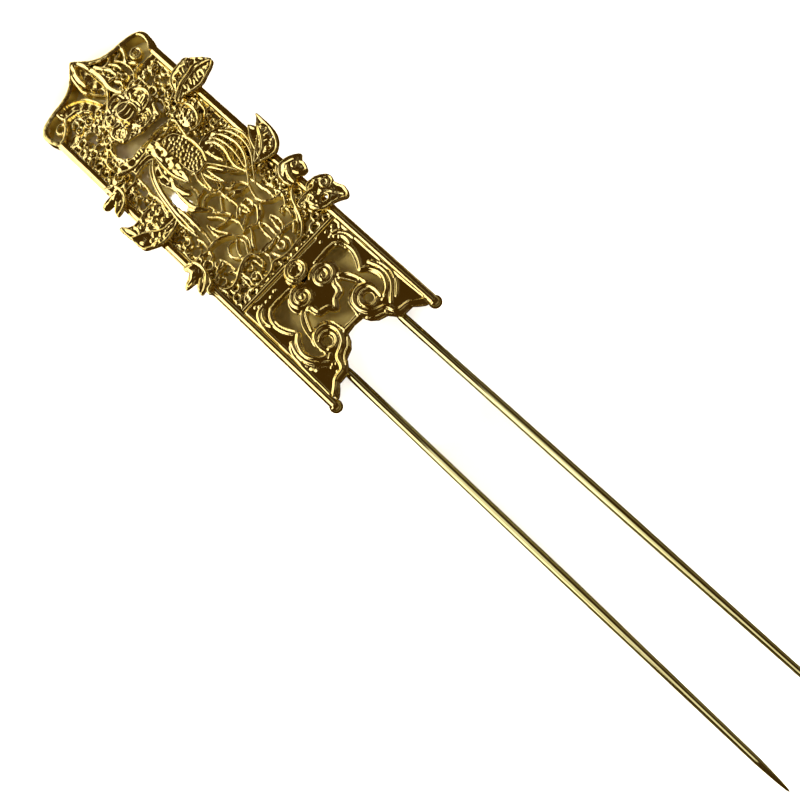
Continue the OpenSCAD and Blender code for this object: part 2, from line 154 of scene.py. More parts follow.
class Relief:
    """A cast sheet on a grid: its height, and how far each place lies inside the metal."""

    def __init__(self, x, y, step, low, top):
        self.step, self.low, self.top = step, low, top
        self.x, self.y = np.meshgrid(np.arange(x[0], x[1] + step, step), np.arange(y[0], y[1] + step, step))
        self.z = np.full(self.x.shape, float(top))
        self.metal = np.full(self.x.shape, -1.0)

    def window(self, path, margin):
        """The part of the grid within margin of the path."""
        x0, y0 = self.x[0, 0], self.y[0, 0]
        lo = np.floor((path.min(0) - margin - [x0, y0]) / self.step).astype(int)
        hi = np.ceil((path.max(0) + margin - [x0, y0]) / self.step).astype(int) + 1
        ny, nx = self.x.shape
        return (slice(min(max(lo[1], 0), ny), min(max(hi[1], 0), ny)),
                slice(min(max(lo[0], 0), nx), min(max(hi[0], 0), nx)))

    def measure(self, win, path):
        """Distance of each place in the window from the path, how far along it is, and how far off to the
        lower right."""
        px, py = self.x[win], self.y[win]
        best = np.full(px.shape, 1e9)
        along = np.zeros(px.shape)
        aside = np.zeros(px.shape)
        n = len(path) - 1
        for i in range(n):
            a, d = path[i], path[i + 1] - path[i]
            ll = max(float(d @ d), 1e-12)
            t = np.clip(((px - a[0]) * d[0] + (py - a[1]) * d[1]) / ll, 0, 1)
            dx, dy = px - a[0] - t * d[0], py - a[1] - t * d[1]
            dist = np.hypot(dx, dy)
            closer = dist < best
            best = np.where(closer, dist, best)
            along = np.where(closer, (i + t) / n, along)
            aside = np.where(closer, ASIDE[0] * dx + ASIDE[1] * dy, aside)
        return best, along, aside

    def inside(self, points, margin, curved=True):
        """The part of the grid around a closed outline, and how deep each place there lies inside it."""
        loop = smooth_path(points, True) if curved else np.asarray(points, float)
        win = self.window(loop, margin)
        d = self.measure(win, np.concatenate([loop, loop[:1]]))[0]
        return win, np.where(within(loop, self.x[win], self.y[win]), d, -d)

    def sheet(self, points, curved=True):
        """Metal inside this outline."""
        win, depth = self.inside(points, 1.0, curved)
        self.metal[win] = np.maximum(self.metal[win], depth)

    def cut(self, points, curved=True):
        """An opening inside this outline."""
        win, depth = self.inside(points, 1.0, curved)
        self.metal[win] = np.minimum(self.metal[win], -depth)

    def swell(self, points, height, fall):
        """Raise the inside of an outline into a pillow that falls off within fall of its edge."""
        win, depth = self.inside(points, 0.5)
        d = np.clip(depth / fall, 0, 1)
        self.z[win] = np.maximum(self.z[win], self.top + height * np.sqrt(1 - (1 - d) ** 2))

    def lean(self, points, rise):
        """Raise the inside of an outline into a ramp that climbs from its left edge to its right."""
        fall = 0.25
        win, depth = self.inside(points, 0.3)
        across = smooth_path(points, True)[:, 0]
        left, right = across.min(), across.max()
        climb = np.clip((self.x[win] - left) / (right - left), 0, 1)
        self.z[win] = np.maximum(self.z[win], self.top + rise * climb * np.clip(depth / fall, 0, 1))

    def stroke(self, points, width, height, taper=(0.55, 0.45), curved=True, base=None, lie=0.0, tilt=0.0):
        """A rounded line, full in the middle and thinner at its ends.

        lie lifts it by what is under it. tilt turns its top towards the upper left.
        """
        path = smooth_path(points) if curved else np.asarray(points, float)
        win = self.window(path, width / 2 + 0.3)
        d, t, aside = self.measure(win, path)
        grow = np.where(t < 0.5, taper[0] + (1 - taper[0]) * np.sin(np.pi * t),
                        taper[1] + (1 - taper[1]) * np.sin(np.pi * t))
        r = width / 2 * grow
        k = np.clip(d / r, 0, 1)
        rise = (height * grow + tilt * aside) * np.sqrt(1 - k ** 2)
        floor = self.top if base is None else base
        floor = floor + lie * np.maximum(self.z[win] - floor, 0)
        self.z[win] = np.where(k < 1, np.maximum(self.z[win], floor + rise), self.z[win])
        self.metal[win] = np.maximum(self.metal[win], r - d)

    def dot(self, x, y, r, height, lie=False):
        """A round grain of metal, on the sheet or, with lie, on whatever is already there."""
        win = self.window(np.array([[x, y]]), r + 0.1)
        d = np.hypot(self.x[win] - x, self.y[win] - y)
        k = np.clip(d / r, 0, 1)
        floor = self.z[win] if lie else self.top
        top = floor + height * np.sqrt(1 - k ** 2)
        self.z[win] = np.where(k < 1, np.maximum(self.z[win], top), self.z[win])
        self.metal[win] = np.maximum(self.metal[win], r - d)

    def soften(self):
        """Round the creases, as casting and polishing do."""
        p = np.pad(self.z, 1, mode="edge")
        self.z = (4 * self.z + 2 * (p[:-2, 1:-1] + p[2:, 1:-1] + p[1:-1, :-2] + p[1:-1, 2:])
                  + p[:-2, :-2] + p[2:, 2:] + p[:-2, 2:] + p[2:, :-2]) / 16

    def ripple(self, amount, scale, seed):
        """Slow hand-made unevenness, as a sum of a few waves."""
        rng = np.random.default_rng(seed)
        for _ in range(7):
            a = rng.uniform(0, 2 * np.pi)
            f = 2 * np.pi / (scale * rng.uniform(0.6, 1.6))
            along = self.x * np.cos(a) + self.y * np.sin(a)
            self.z += amount / 3 * np.sin(f * along + rng.uniform(0, 6.28))

    def mesh(self, name, edge=0.16):
        """The metal as a closed mesh whose upper edges are rounded over the width edge.

        Grid triangles that lie wholly in the metal stay whole. Those with one or two corners in it are cut
        where its edge crosses them. The face is then copied down to the underside, with walls between.
        """
        # Grid places close to the metal's edge are moved off it, so that no slivers are cut
        s = self.metal.ravel().copy()
        small = 0.15 * self.step
        s = np.where(np.abs(s) < small, np.where(s < 0, -small, small), s)
        m = np.clip(s / edge, 0, 1)
        z = self.z.ravel() - edge * (1 - np.sqrt(1 - (1 - m) ** 2))
        z = np.maximum(z, self.low + 0.1)
        ny, nx = self.x.shape
        i = np.arange(ny * nx).reshape(ny, nx)
        a, b, c, d = i[:-1, :-1].ravel(), i[:-1, 1:].ravel(), i[1:, 1:].ravel(), i[1:, :-1].ravel()
        tris = np.concatenate([np.stack([a, b, c], 1), np.stack([a, c, d], 1)])
        ins = s > 0
        count = ins[tris].sum(1)
        full = tris[count == 3]

        def turned(rows, first):
            """Triangles turned so that the given corner comes first."""
            return np.stack([rows[np.arange(len(rows)), (first + k) % 3] for k in range(3)], 1)
        one = tris[count == 1]
        one = turned(one, ins[one].argmax(1))
        two = tris[count == 2]
        two = turned(two, (~ins[two]).argmax(1))
        pairs = np.concatenate([one[:, [0, 1]], one[:, [0, 2]], two[:, [0, 1]], two[:, [0, 2]]])
        pairs = np.sort(pairs, 1)
        edges, where = np.unique(pairs, axis=0, return_inverse=True)
        where = where.ravel() + ny * nx
        n1, n2 = len(one), len(two)
        e01, e02 = where[:n1], where[n1:2 * n1]
        f01, f02 = where[2 * n1:2 * n1 + n2], where[2 * n1 + n2:]
        faces = np.concatenate([full, np.stack([one[:, 0], e01, e02], 1),
                                np.stack([two[:, 1], two[:, 2], f02], 1),
                                np.stack([two[:, 1], f02, f01], 1)])
        t = (s[edges[:, 0]] / (s[edges[:, 0]] - s[edges[:, 1]]))[:, None]
        flat = np.stack([self.x.ravel(), self.y.ravel(), z], 1)
        cutpts = flat[edges[:, 0]] * (1 - t) + flat[edges[:, 1]] * t
        cutpts[:, 2] = np.where(ins[edges[:, 0]], flat[edges[:, 0], 2], flat[edges[:, 1], 2]) - edge * 0.3
        cutpts[:, 2] = np.maximum(cutpts[:, 2], self.low + 0.08)
        verts = np.concatenate([flat, cutpts])
        # Only places that are used stay; the underside and the walls follow
        used, faces = np.unique(faces, return_inverse=True)
        faces = faces.reshape(-1, 3)
        verts = verts[used]
        n = len(verts)
        lows = verts.copy()
        lows[:, 2] = self.low
        sides = np.concatenate([faces[:, [0, 1]], faces[:, [1, 2]], faces[:, [2, 0]]])
        there = sides[:, 0].astype(np.int64) * n + sides[:, 1]
        back = sides[:, 1].astype(np.int64) * n + sides[:, 0]
        rim = sides[~np.isin(there, back)]
        walls = np.stack([rim[:, 0], rim[:, 0] + n, rim[:, 1] + n, rim[:, 1]], 1)
        polys = faces.tolist() + (faces[:, ::-1] + n).tolist() + walls.tolist()
        return make_object(name, np.concatenate([verts, lows]), polys)


def make_object(name, verts, polys, sharp=48):
    """A mesh object from places in millimetres, shaded smooth up to the sharp angle."""
    v = np.asarray(verts, float).copy()
    v[:, 1] -= BAR_Y
    mesh = bpy.data.meshes.new(name)
    mesh.from_pydata((v * MM).tolist(), [], polys)
    mesh.validate()
    mesh.polygons.foreach_set("use_smooth", [True] * len(mesh.polygons))
    mesh.set_sharp_from_angle(angle=math.radians(sharp))
    obj = bpy.data.objects.new(name, mesh)
    bpy.context.scene.collection.objects.link(obj)
    return obj


def tube(name, points, radii):
    """A closed tube swept along points in three dimensions, with a radius for each."""
    sides = 20
    p = np.asarray(points, float)
    r = np.asarray(radii, float)[:, None, None]
    tangent = np.gradient(p, axis=0)
    tangent /= np.linalg.norm(tangent, axis=1)[:, None]
    side = np.cross(tangent, [0, 0, 1.0])
    side /= np.maximum(np.linalg.norm(side, axis=1), 1e-9)[:, None]
    up = np.cross(side, tangent)
    a = np.linspace(0, 2 * np.pi, sides, endpoint=False)
    rings = p[:, None] + r * (np.cos(a)[None, :, None] * side[:, None]
                              + np.sin(a)[None, :, None] * up[:, None])
    polys = []
    for i in range(len(p) - 1):
        for j in range(sides):
            k = (j + 1) % sides
            polys.append([i * sides + j, i * sides + k, (i + 1) * sides + k, (i + 1) * sides + j][::-1])
    polys.append(list(range(sides)))
    last = (len(p) - 1) * sides
    polys.append([last + j for j in range(sides)][::-1])
    return make_object(name, rings.reshape(-1, 3), polys, 60)


# Gold

def gold(name, base, deep, rough, bump, grain):
    """Polished plate: colour that drifts between two golds, fine polishing marks and soft dents."""
    mat = bpy.data.materials.new(name)
    mat.use_nodes = True
    nodes, links = mat.node_tree.nodes, mat.node_tree.links
    shader = nodes["Principled BSDF"]
    shader.inputs["Metallic"].default_value = 1.0

    def add(kind, values):
        node = nodes.new(kind)
        for word, value in values.items():
            node.inputs[word].default_value = value
        return node
    place = add("ShaderNodeTexCoord", {})
    drift = add("ShaderNodeTexNoise", {"Scale": 260, "Detail": 4})
    links.new(place.outputs["Object"], drift.inputs["Vector"])
    ramp = add("ShaderNodeValToRGB", {})
    for stop, position, colour in zip(ramp.color_ramp.elements, (0.35, 0.65), (deep, base)):
        stop.position = position
        stop.color = (*colour, 1)
    links.new(drift.outputs["Fac"], ramp.inputs["Fac"])
    links.new(ramp.outputs["Color"], shader.inputs["Base Color"])
    fine = add("ShaderNodeTexNoise", {"Scale": grain, "Detail": 5})
    links.new(place.outputs["Object"], fine.inputs["Vector"])
    spread = add("ShaderNodeMapRange", {"To Min": rough * 0.7, "To Max": rough * 1.4})
    links.new(fine.outputs["Fac"], spread.inputs["Value"])
    links.new(spread.outputs["Result"], shader.inputs["Roughness"])
    dents = add("ShaderNodeBump", {"Strength": bump, "Distance": 0.0001})
    links.new(fine.outputs["Fac"], dents.inputs["Height"])
    links.new(dents.outputs["Normal"], shader.inputs["Normal"])
    return mat


POLISHED = gold("polished_gold", (1.0, 0.86, 0.42), (0.96, 0.79, 0.3), 0.10, 0.25, 900)
WIRE = gold("prong_gold", (0.84, 0.80, 0.43), (0.76, 0.71, 0.35), 0.08, 0.1, 500)


def dress(obj, node, mat=POLISHED):
    """Give a piece its gold and let it ride on the fork, in place of a node."""
    obj.data.materials.append(mat)
    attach(obj, "root")
    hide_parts(node)


# Lower plate

def rail_inner(y):
    """How far from the middle the cast sheets reach at this place along the rails."""
    return RAIL_X0 + (RAIL_X1 - RAIL_X0) * (y - RAIL_Y0) / (RAIL_Y1 - RAIL_Y0) - RAIL_T / 2 - GAP


# The right half of the plate's lower edge, its side window and the opening under the shield
PLATE_EDGE = pts("""
    0,4.7 1.6,4.5 2.1,3.3 3,2.3 4.5,1.7 5.2,0.6 6,-0.2 8,-0.3 8.8,-1.2 9.5,-1.8 10.1,-2""")
WINDOW = pts("""
    3.1,16.7 5,16.8 6.9,16.7 7.7,15.6 7.8,13.6 7,11.6 6.5,10.5 7.4,9.2 8,7.6 7.8,6.1 7,5.2 6.1,4.9 6.4,6
    6.6,7.4 6.2,9 5.9,10.3 5,11.6 4.6,12.6 5,13.8 4.9,15.2 4.2,16.2""")
HEART = pts("""
    0,5.7 1.3,5.8 1.6,7.2 2.5,8.5 4.1,9.1 5,8.9 4.7,10.2 3.8,11.8 3.3,11.9 3.1,10.6 2.5,9.9 1.2,9.6 0.6,8.7
    0,8.3""")
# Raised lines with their widths, for the right half
PLATE_LINES = marks("""
    0.5: 7,17.25 7.9,16.4 8.4,15.2 8.5,14 8.2,12.7 7.6,11.4 6.9,10.5;
    0.34: 7.3,16.6 7.85,15.7 8,14.6 7.85,13.4 7.3,12 6.7,10.9; 2.9,17.25 4.2,17.2 5.6,17.3 7,17.25;
    0.5: 8.1,18.6 9,18.2 9.6,17.2 9.9,16.2 9.95,15.3;
    0.62: 8.1,18 8.7,17.6 9.1,16.8 9.15,15.9 8.95,15.1;
    0.8: 7,10.5 8,9.5 8.5,8.3 8.6,7.1 8.2,6 7.5,5 6.5,4.4;
    0.6: 8.7,10.3 9.15,9 9.3,7.8 9.2,6.5 8.7,5.2 7.9,4.2 7,3.4 6.4,2.8;
    0.4: 9.2,10 9.7,9 9.9,7.7 9.85,6.3 9.5,5.3;
    0.45: 9.45,4.8 8.8,3.9 8.2,3.3 7.6,2.8;
    0.5: 4.1,12.7 5,11.9 5.6,10.8 5.95,9.5 6.1,8.2;
    0.4: 3.8,12.2 4.3,11.2 4.8,10.1 5.1,9.3;
    0.66: 6.1,4.8 6.25,6 6.1,7.2 5.5,8.2 4.5,8.6 3.4,8.4 2.6,7.6 2.3,6.5 2.45,5.4 3,4.3 4,3.55 5.1,3.05
    5.55,2.3 5.75,1.5 6.3,0.85 7.6,0.65 8.3,0.3 9,-0.35 9.9,-1;
    0.5: 5.5,7.1 4.7,7.5 3.8,7.3 3.2,6.6 3.15,5.6 3.7,4.8 4.6,4.5 5.4,4.9;
    0.3: 1.5,5.3 1.7,6.5 1.9,7.8 2.6,8.7 3.6,9.2 4.7,9.2;
    0.5: 2.9,12.5 2.45,12 2.35,11.2 2,10.55 1.1,10.25 0.55,9.8 0,9;
    0.3: 3.3,12.4 3.05,11.9 2.95,11 2.65,10.15;
    0.35: 5.7,4.1 6.3,3.9;
    0.3: 2.1,3.9 2.9,2.9 3.9,2.4 4.6,1.9 5.2,1""")
# Grains and short lines where they stand, on one side only
PLATE_DOTS = pts("""
    -8.6,19.4 -8.1,19 -7.7,18.7 -6.7,18.7 -5.7,18.7 -4.7,19 -4.4,18.8 7.75,19.6 9.1,19.5 9.9,18.7 9.8,18.4
    8.6,19 6,19 8.55,17.2 7.7,18.2 7.6,18.5 -7.1,2.4 -6.6,2.6 -6.2,2.3 -6.9,1.2 9.6,5.3 4.8,2.3 5.65,9.4
    -0.9,13.3 -0.8,13.6""")
SHORT_LINES = marks("""
    0.25: -10.7,20.05 -9.6,20.1 -7.6,20.05; 5.9,20.2 8,20.15 10,20.2;
    0.3: -9.8,15 -9.95,15.5;
    0.4: -9.2,3.9 -8.4,3.2 -7.4,2.6""")


def lower_plate():
    """The pierced plate, alike on both sides but for its short lines and grains."""
    relief = Relief((-10.5, 10.5), (-2.4, 20.2), 0.105, PLATE_LOW, PLATE_TOP)
    # The readings lie this much too high for the height of the plate's face
    down = np.array([0, -0.4])
    scroll = [2.35, 14.6]
    right = np.array(PLATE_EDGE + [[rail_inner(20), 20.1]])
    relief.sheet(np.concatenate([right, flipped(right[:0:-1])]) + down, False)
    for turn in (np.asarray, flipped):
        relief.cut(turn(WINDOW) + down)
        relief.cut(turn(HEART) + down, False)
        relief.cut(turn(disc((4.6, 6.1), 0.75, 0.95)) + down, False)
        for line, width in PLATE_LINES:
            relief.stroke(turn(line) + down, width, 0.12 + 0.35 * width, (0.75, 0.75), tilt=0.3)
        spiral = turn(spiral_path(scroll, 0.3, 2.15, 60, 860)) + down
        relief.stroke(spiral, 0.48, 0.3, (0.9, 1), tilt=0.25)
        relief.dot(*(turn(scroll) + down), 0.3, 0.3)
        bead = [[10.25, -0.95], [rail_inner(10) - 0.16, 10], [rail_inner(19.6) - 0.16, 19.6]]
        relief.stroke(turn(bead), 0.42, 0.18, (0.9, 0.9), False, tilt=0.35)
    for line, width in SHORT_LINES:
        relief.stroke(line + down, width, 0.2, tilt=0.3)
    relief.stroke([[-1.8, 5.05], [1.8, 5.05]] + down, 0.3, 0.15, (1, 1), False)
    rng = np.random.default_rng(4)
    for x, y in PLATE_DOTS:
        relief.dot(x, y + down[1], rng.uniform(0.15, 0.22), rng.uniform(0.12, 0.2))
    relief.soften()
    relief.ripple(0.02, 3.0, 2)
    return relief.mesh("scroll_plate")


dress(lower_plate(), "lower_plate")


# Rails, cross bar and head rim

def bar(name, profile, start, end, sharp):
    """A straight bar of one section from start to end, both in plan."""
    a, b = np.array(start, float), np.array(end, float)
    d = (b - a) / np.linalg.norm(b - a)
    side = np.array([d[1], -d[0]])
    verts = [[*(q + side * w), h] for q in (a, b) for w, h in profile]
    n = len(profile)
    polys = [[i, (i + 1) % n, n + (i + 1) % n, n + i] for i in range(n)]
    polys += [list(range(n))[::-1], list(range(n, 2 * n))]
    return make_object(name, verts, polys, sharp)


def rounded_wall(width, height, crown, steps):
    """The section of a wall whose top is a half-round of the given crown."""
    r = width / 2
    top = [[r * math.cos(a), height + crown * math.sin(a)] for a in np.linspace(0, math.pi, steps + 1)]
    return [[r * 0.8, 0], [r, 0.15]] + top + [[-r, 0.15], [-r * 0.8, 0]]


def rails():
    """Both rails with their round ends, and the cross bar."""
    pieces = []
    # The section of a rail, outer side first: a narrow flat shoulder, then a low round crown
    half, lean = RAIL_T / 2, math.radians(46)
    radius = (half - 0.13) / math.sin(lean)
    crown = [[radius * math.sin(a) - 0.13, RAIL_TOP - radius + radius * math.cos(a)]
             for a in np.linspace(lean, -lean, 15)]
    section = ([[half - 0.15, 0], [half, 0.15], [half, crown[0][1] + 0.02], [half - 0.2, crown[0][1] + 0.06]]
               + crown[1:] + [[-half, 0.15], [-half + 0.15, 0]])
    for side, word in ((-1, "left"), (1, "right")):
        a, b = [side * RAIL_X0, RAIL_Y0], [side * RAIL_X1, RAIL_Y1 - 0.1]
        profile = [[side * w, h] for w, h in section][::side]
        pieces.append(bar("rail_" + word, profile, a, b, 24))
        angles = np.linspace(0.05, math.pi - 0.05, 12)
        ball = [[side * RAIL_X0, RAIL_Y0 - BALL_R * math.cos(t) * 0.98, BALL_Z] for t in angles]
        pieces.append(tube("rail_end_" + word, ball, [BALL_R * math.sin(t) for t in angles]))
    profile = rounded_wall(BAR_T, BAR_WALL, BAR_CROWN, 6)
    pieces.append(bar("cross_bar", profile, [-BAR_END, BAR_Y], [BAR_END, BAR_Y], 48))
    return pieces


RIM_LINE = [[RAIL_X1, 70.2], [RAIL_X1, 71.2]] + pts("""
    12.3,72.9 12.65,74.5 12.3,75.8 11.1,76.7 8.9,77.3 6.3,77.6 4.2,78.3 2.4,79.6 1,81.3 0.1,82.5""")


def head_rim():
    """The cloud-shaped wall round the head, with its peak."""
    relief = Relief((-13.5, 13.5), (69.6, 83.6), 0.11, 0.0, RIM_TOP)
    for turn in (np.asarray, flipped):
        relief.stroke(turn(RIM_LINE), RIM_T, 0.02, (1, 1))
    relief.sheet([[-0.95, 81.6], [0.95, 81.6], [0.1, 83.2], [-0.1, 83.2]], False)
    relief.stroke([[-0.8, 81.7], [0, 82.7], [0.8, 81.7]], 0.8, 0.02, (1, 1), False)
    return relief.mesh("head_rim", 0.02)


# Strokes inside the head, with their widths, and rings, with radius and width
HEAD_LINES = marks("""
    0.4: -9.3,77.9 -9.2,76.8 -9,75.6;
    0.3: -8.7,76.7 -8.55,76;
    0.7: -8.8,75.2 -9.5,74.2 -10.3,73.2 -11.3,72.4 -12.4,72.1;
    0.16: -9,77.5 -7.5,77.4 -6,77 -4.7,76.1 -3.9,75.2;
    0.34: -4.2,75.6 -3.5,74.8 -3.1,73.9 -2.7,72.9 -2.4,71.8;
    0.4: -7.6,73.4 -6.8,72.7 -6.6,71.8; -8.9,72.6 -8.2,73.2 -7.6,72.6 -7.8,71.8;
    0.6: -8.8,75.1 -7.6,75 -6.5,74.6 -5.6,73.8;
    0.45: -6.4,73.8 -5.4,73.2 -4.8,72.2;
    0.75: -1.1,82.9 -1.5,81.4 -1.9,80 -2,78.4 -2,76.9;
    0.5: -2.45,81.2 -2.75,79.8 -2.95,78 -3,76.4 -2.75,75.4;
    0.3: -1.7,75.8 -1.8,75;
    0.28: -2.6,76.2 -2.1,74.6 -1.3,73.3 -0.8,72.5;
    0.6: 0,82.3 0.4,80.9 0.7,79.5;
    0.78: 0.6,79.9 0.95,78 1.1,76.2 1,74.6 0.8,73 1.1,71.6 1.6,70.2;
    0.5: -1.9,70.2 -1,71.2 -0.3,72 0.2,72.9;
    0.6: 1.6,78.9 2.1,77.6 2.8,76.4 3.2,75.3 3.3,73.9;
    0.5: 2.5,77.3 3.5,77.1 4.7,77.7;
    0.42: 3.7,76.8 4.2,76 4.6,75 4.7,73.8;
    0.5: 1.3,74.1 2.3,73.8 3.1,73.1;
    0.35: 2,76.6 1.8,75.4 2.2,74.4;
    0.3: 3.9,75.4 3.7,74.2 4,73;
    0.45: 2.3,72.9 2.8,71.9 2.7,70.8;
    0.32: 4.9,76.4 5.6,75 5.9,73.6 5.9,72.2 5.6,71 4.9,70;
    0.3: 5.2,76.6 6.4,76.8;
    0.6: 7.4,78.2 7.2,76.6 6.7,75.3 6.2,74.4 6.7,73.4 7.2,72.4;
    0.35: 6.2,71.4 7.7,71.6;
    0.4: 11.1,76.7 11.5,75.9 11.6,74.8 11.3,73.4 10.7,72.4;
    0.35: -6.8,78.3 -5.3,78.8 -4,79.8 -3.3,80.8;
    0.4: 1.5,80.2 3,78.9 5.1,78.1;
    0.25: 8,78 8.7,78;
    0.3: -11.9,76.6 -12.7,75.8""")
HEAD_RINGS = marks("""
    0.9 0.45: -10.5,74.4; 1 0.5: 8.5,74.2; 0.6 0.4: -8.3,71.1; 0.4 0.3: 2,75.1; 0.7 0.4: -6,70.9;
    0.45 0.3: 8.5,74.2; 0.6 0.35: 4.1,72.2; 0.6 0.4: -3.8,70.6""")


def head_scrolls():
    """The curls and blades soldered inside the rim."""
    relief = Relief((-12.6, 12.6), (69.5, 82.9), 0.1, HEAD_LOW, HEAD_TOP)

    def placed(points):
        """Readings moved to the strokes' height, and drawn in a little below the peak."""
        moved = seen(points, 1.9)
        moved[:, 1] -= 0.07 * np.maximum(moved[:, 1] - 76, 0)
        return moved
    relief.sheet([[-11.5, 69.65], [11.5, 69.65], [11.7, 71.5], [5.6, 71.5], [-11.7, 71.2]], False)
    # The drop between the two bright blades, and the leaf beside it
    for points in outlines("""
            -0.7,82.6 -1.4,81 -1.9,79 -2,77 -1.9,75 -1.3,73.4 -0.7,72.7 0,73.4 0.3,75 0.3,77 0.2,79 -0.2,81.4;
            -9.2,77.4 -7.5,77.4 -5.8,76.9 -4.4,75.8 -3.2,74.1 -2.2,72.2 -1.8,71 -3,70.5 -5.5,71.2 -7,72.2
            -8.3,73.4 -9.2,75"""):
        relief.sheet(placed(points))
    relief.cut(placed(disc((-0.8, 74.1), 0.55, 0.9)))
    for line, width in HEAD_LINES:
        # Strokes at the peak and at the right corner lie higher, on the rim
        high = max(y for _, y in line) > 80 or line[0][0] > 11
        relief.stroke(placed(line), 1.5 * width, 0.06 + 0.36 * width, (0.85, 0.75),
                      base=HIGH_Z if high else SCROLL_Z, tilt=0.55)
    for (centre,), r, width in HEAD_RINGS:
        ring = placed(spiral_path(centre, r, r * 1.05, -40, 310))
        relief.stroke(ring, 1.3 * width, 0.28, (0.9, 0.9), False, base=HEAD_RING_Z, tilt=0.5)
    relief.soften()
    relief.ripple(0.03, 2.5, 5)
    return relief.mesh("head_scrolls", 0.12)


for piece in rails() + [head_rim(), head_scrolls()]:
    dress(piece, "frame")


# The openwork panel: curls and grains of cast wire, with the vines over them

# The larger gaps between the wires
OPENINGS = outlines("""
    -7.1,61 -6.7,62.3 -5.8,63 -4.9,62.9 -4.4,61.4 -3,60.5 -1,60.1 1.5,60.1 3.9,60.4 4.2,59.3 3,58.5 0,58.4
    -3,58.4 -5,58.4 -6.5,59.3; 0.8,57.9 1.6,58 2,57.4 1.2,57.1;
    3.4,62 3.5,63.4 4.3,64 4.9,63 5,61.6 4.3,60.8; -7,54.7 -5.4,54.9 -3.6,54.7 -4.7,52.5 -5.7,50 -6.2,47.8
    -6.8,46.4 -7,50; -10.2,28.1 -9.2,28.4 -8,28 -7.6,26.9 -8.8,26 -10,26.6;
    -9.7,36 -8.6,36.2 -8.2,35.2 -8.6,34.2 -9.6,34.4; -9.5,39.6 -8.8,39.4 -8.7,38.4 -9.4,38.2;
    -10.4,50.4 -9.4,50.8 -9.4,49.4 -10.2,49; -10.9,62.7 -9.9,62.6 -9.6,61.4 -10.6,60.9;
    -8.6,68.8 -7,68.6 -6.8,67.2 -8.2,67.2; -6,45 -5.9,46.6 -4.6,47 -4.5,45 -4.6,43.4 -5,42 -5.6,42.3;
    -5.5,41.2 -4.6,40.9 -4.6,38.6 -5.4,38.2; -5.6,36.8 -5,36.6 -5.1,33.9 -5.7,33.8;
    -1,36.4 -0.3,38.6 0.6,38.4 0.7,36.4 0.5,35.6; -2.9,40 -1.6,40.9 -0.4,40.2 -0.6,39.2 -1.8,38.8;
    -1.4,30.5 0.2,30.2 0.8,29 0.6,27 -0.4,26.5 -1.8,27.2 -1.2,28.8;
    -5.6,33.2 -4.2,32.6 -3.2,31.8 -4.4,31.6 -5.6,32; 4.7,35.8 5.7,36.4 5.9,33.4 5.2,32.4 4.6,33.4;
    -4.6,30.6 -3.6,31 -3.9,28.6 -4.6,28.4; -2.4,34.6 -1.4,34.4 -1.2,32.8 -2.2,32.4;
    2.6,42.6 3.6,41.6 4.9,39.9 3.4,39.6 2.6,40.4; 0.6,34.4 1,34.2 1,32.6 0,32.8;
    8.4,53.8 9,53.8 9.1,53 8.5,53; 5.9,68.2 7,68.4 7.2,67 6.3,66.6; 7.6,66 8.8,65.8 8.8,64.8 7.8,64.8""")
# Solid metal between the bird's back and the opening under the peony
PATCH = pts("-0.6,58.3 1.4,58.5 3.5,58 3.9,56.6 3.6,54.6 0,54.6")
# Vines, the thickest wires: width and places
VINES = marks("""
    0.78: -9,28.9 -9.8,28.7 -10.4,28 -10.5,27 -10.2,26 -9.4,25.35 -8.6,25.2 -7.7,25.5 -6.6,26.15 -5.5,26.85
    -4.6,27.15 -3.7,27.2 -3,26.8 -2.6,26.1 -2.45,25.2 -2.6,24.2 -3.2,23.8;
    0.6: -11.2,28.3 -10.8,27.4;
    0.7: -7.6,33.6 -6.4,33.8 -5.2,33.6 -3.9,33 -3,32.2 -2.4,31.3;
    0.55: -1.4,31.1 -0.4,31 0.4,30.7 1.1,30.1;
    0.75: 4.1,22.2 5.3,23 6.2,24 6.9,25.2 7.3,26.4 7.7,27.5 8.2,28.7 8.9,29.6 9.7,30.1 10.4,29.9 10.8,29.2
    10.7,28.5 10.2,28.2 9.6,28.5;
    0.45: 5.2,28.9 5.6,29.1 6.3,29 6.8,28.2 6.9,27 6.6,25.8 6,24.8 5.2,23.9 4.4,23.2 3.4,22.7;
    0.72: -7.3,22.2 -6.2,22 -4.8,21.9 -3.4,21.9 -2.4,22.2 -1.6,22.8 -0.8,22.6 0,22.2 1.2,22 2.6,22.2 4.2,22.4
    5.6,22.1;
    0.5: -2.3,26 -0.6,26 1.2,26;
    0.55: 1.2,38.5 2.2,38.1 3,37.4 3.8,36.8 4.9,36.6;
    0.5: -4.1,35.5 -3,35.1 -1.9,34.8 -0.7,35;
    0.42: -5,31.2 -4.2,31.3 -3.2,31.1;
    0.7: 11,35.6 10.2,35 9.4,34.2;
    0.42: 4.3,41.6 4.9,40.7 5.6,39.9 6.1,39.5;
    0.35: 6.4,43.2 5.4,43 4.8,42.9;
    0.6: -12.2,63.2 -11.4,63.9 -10.6,64.2 -9.8,63.9 -9.2,63.2 -8.8,62.4 -8.6,61.8;
    0.7: -8.6,61.8 -9.1,61 -9.2,60 -9.1,58.8;
    0.4: -8.6,61.8 -8,61.9 -7.8,61; -8.2,60.4 -8,59.6 -8.2,59;
    0.6: -11.2,54 -9.4,54 -8,54 -7,54.6 -6.2,55.3; 6,60.4 7.6,61.2 9.4,61.8 10.8,62.2;
    0.5: 7.2,59.8 8.2,60.8 9.6,61.8;
    0.4: 7.6,59.5 9,60.2 10.4,60.2;
    0.45: 5.8,61.6 5.9,59.6""")
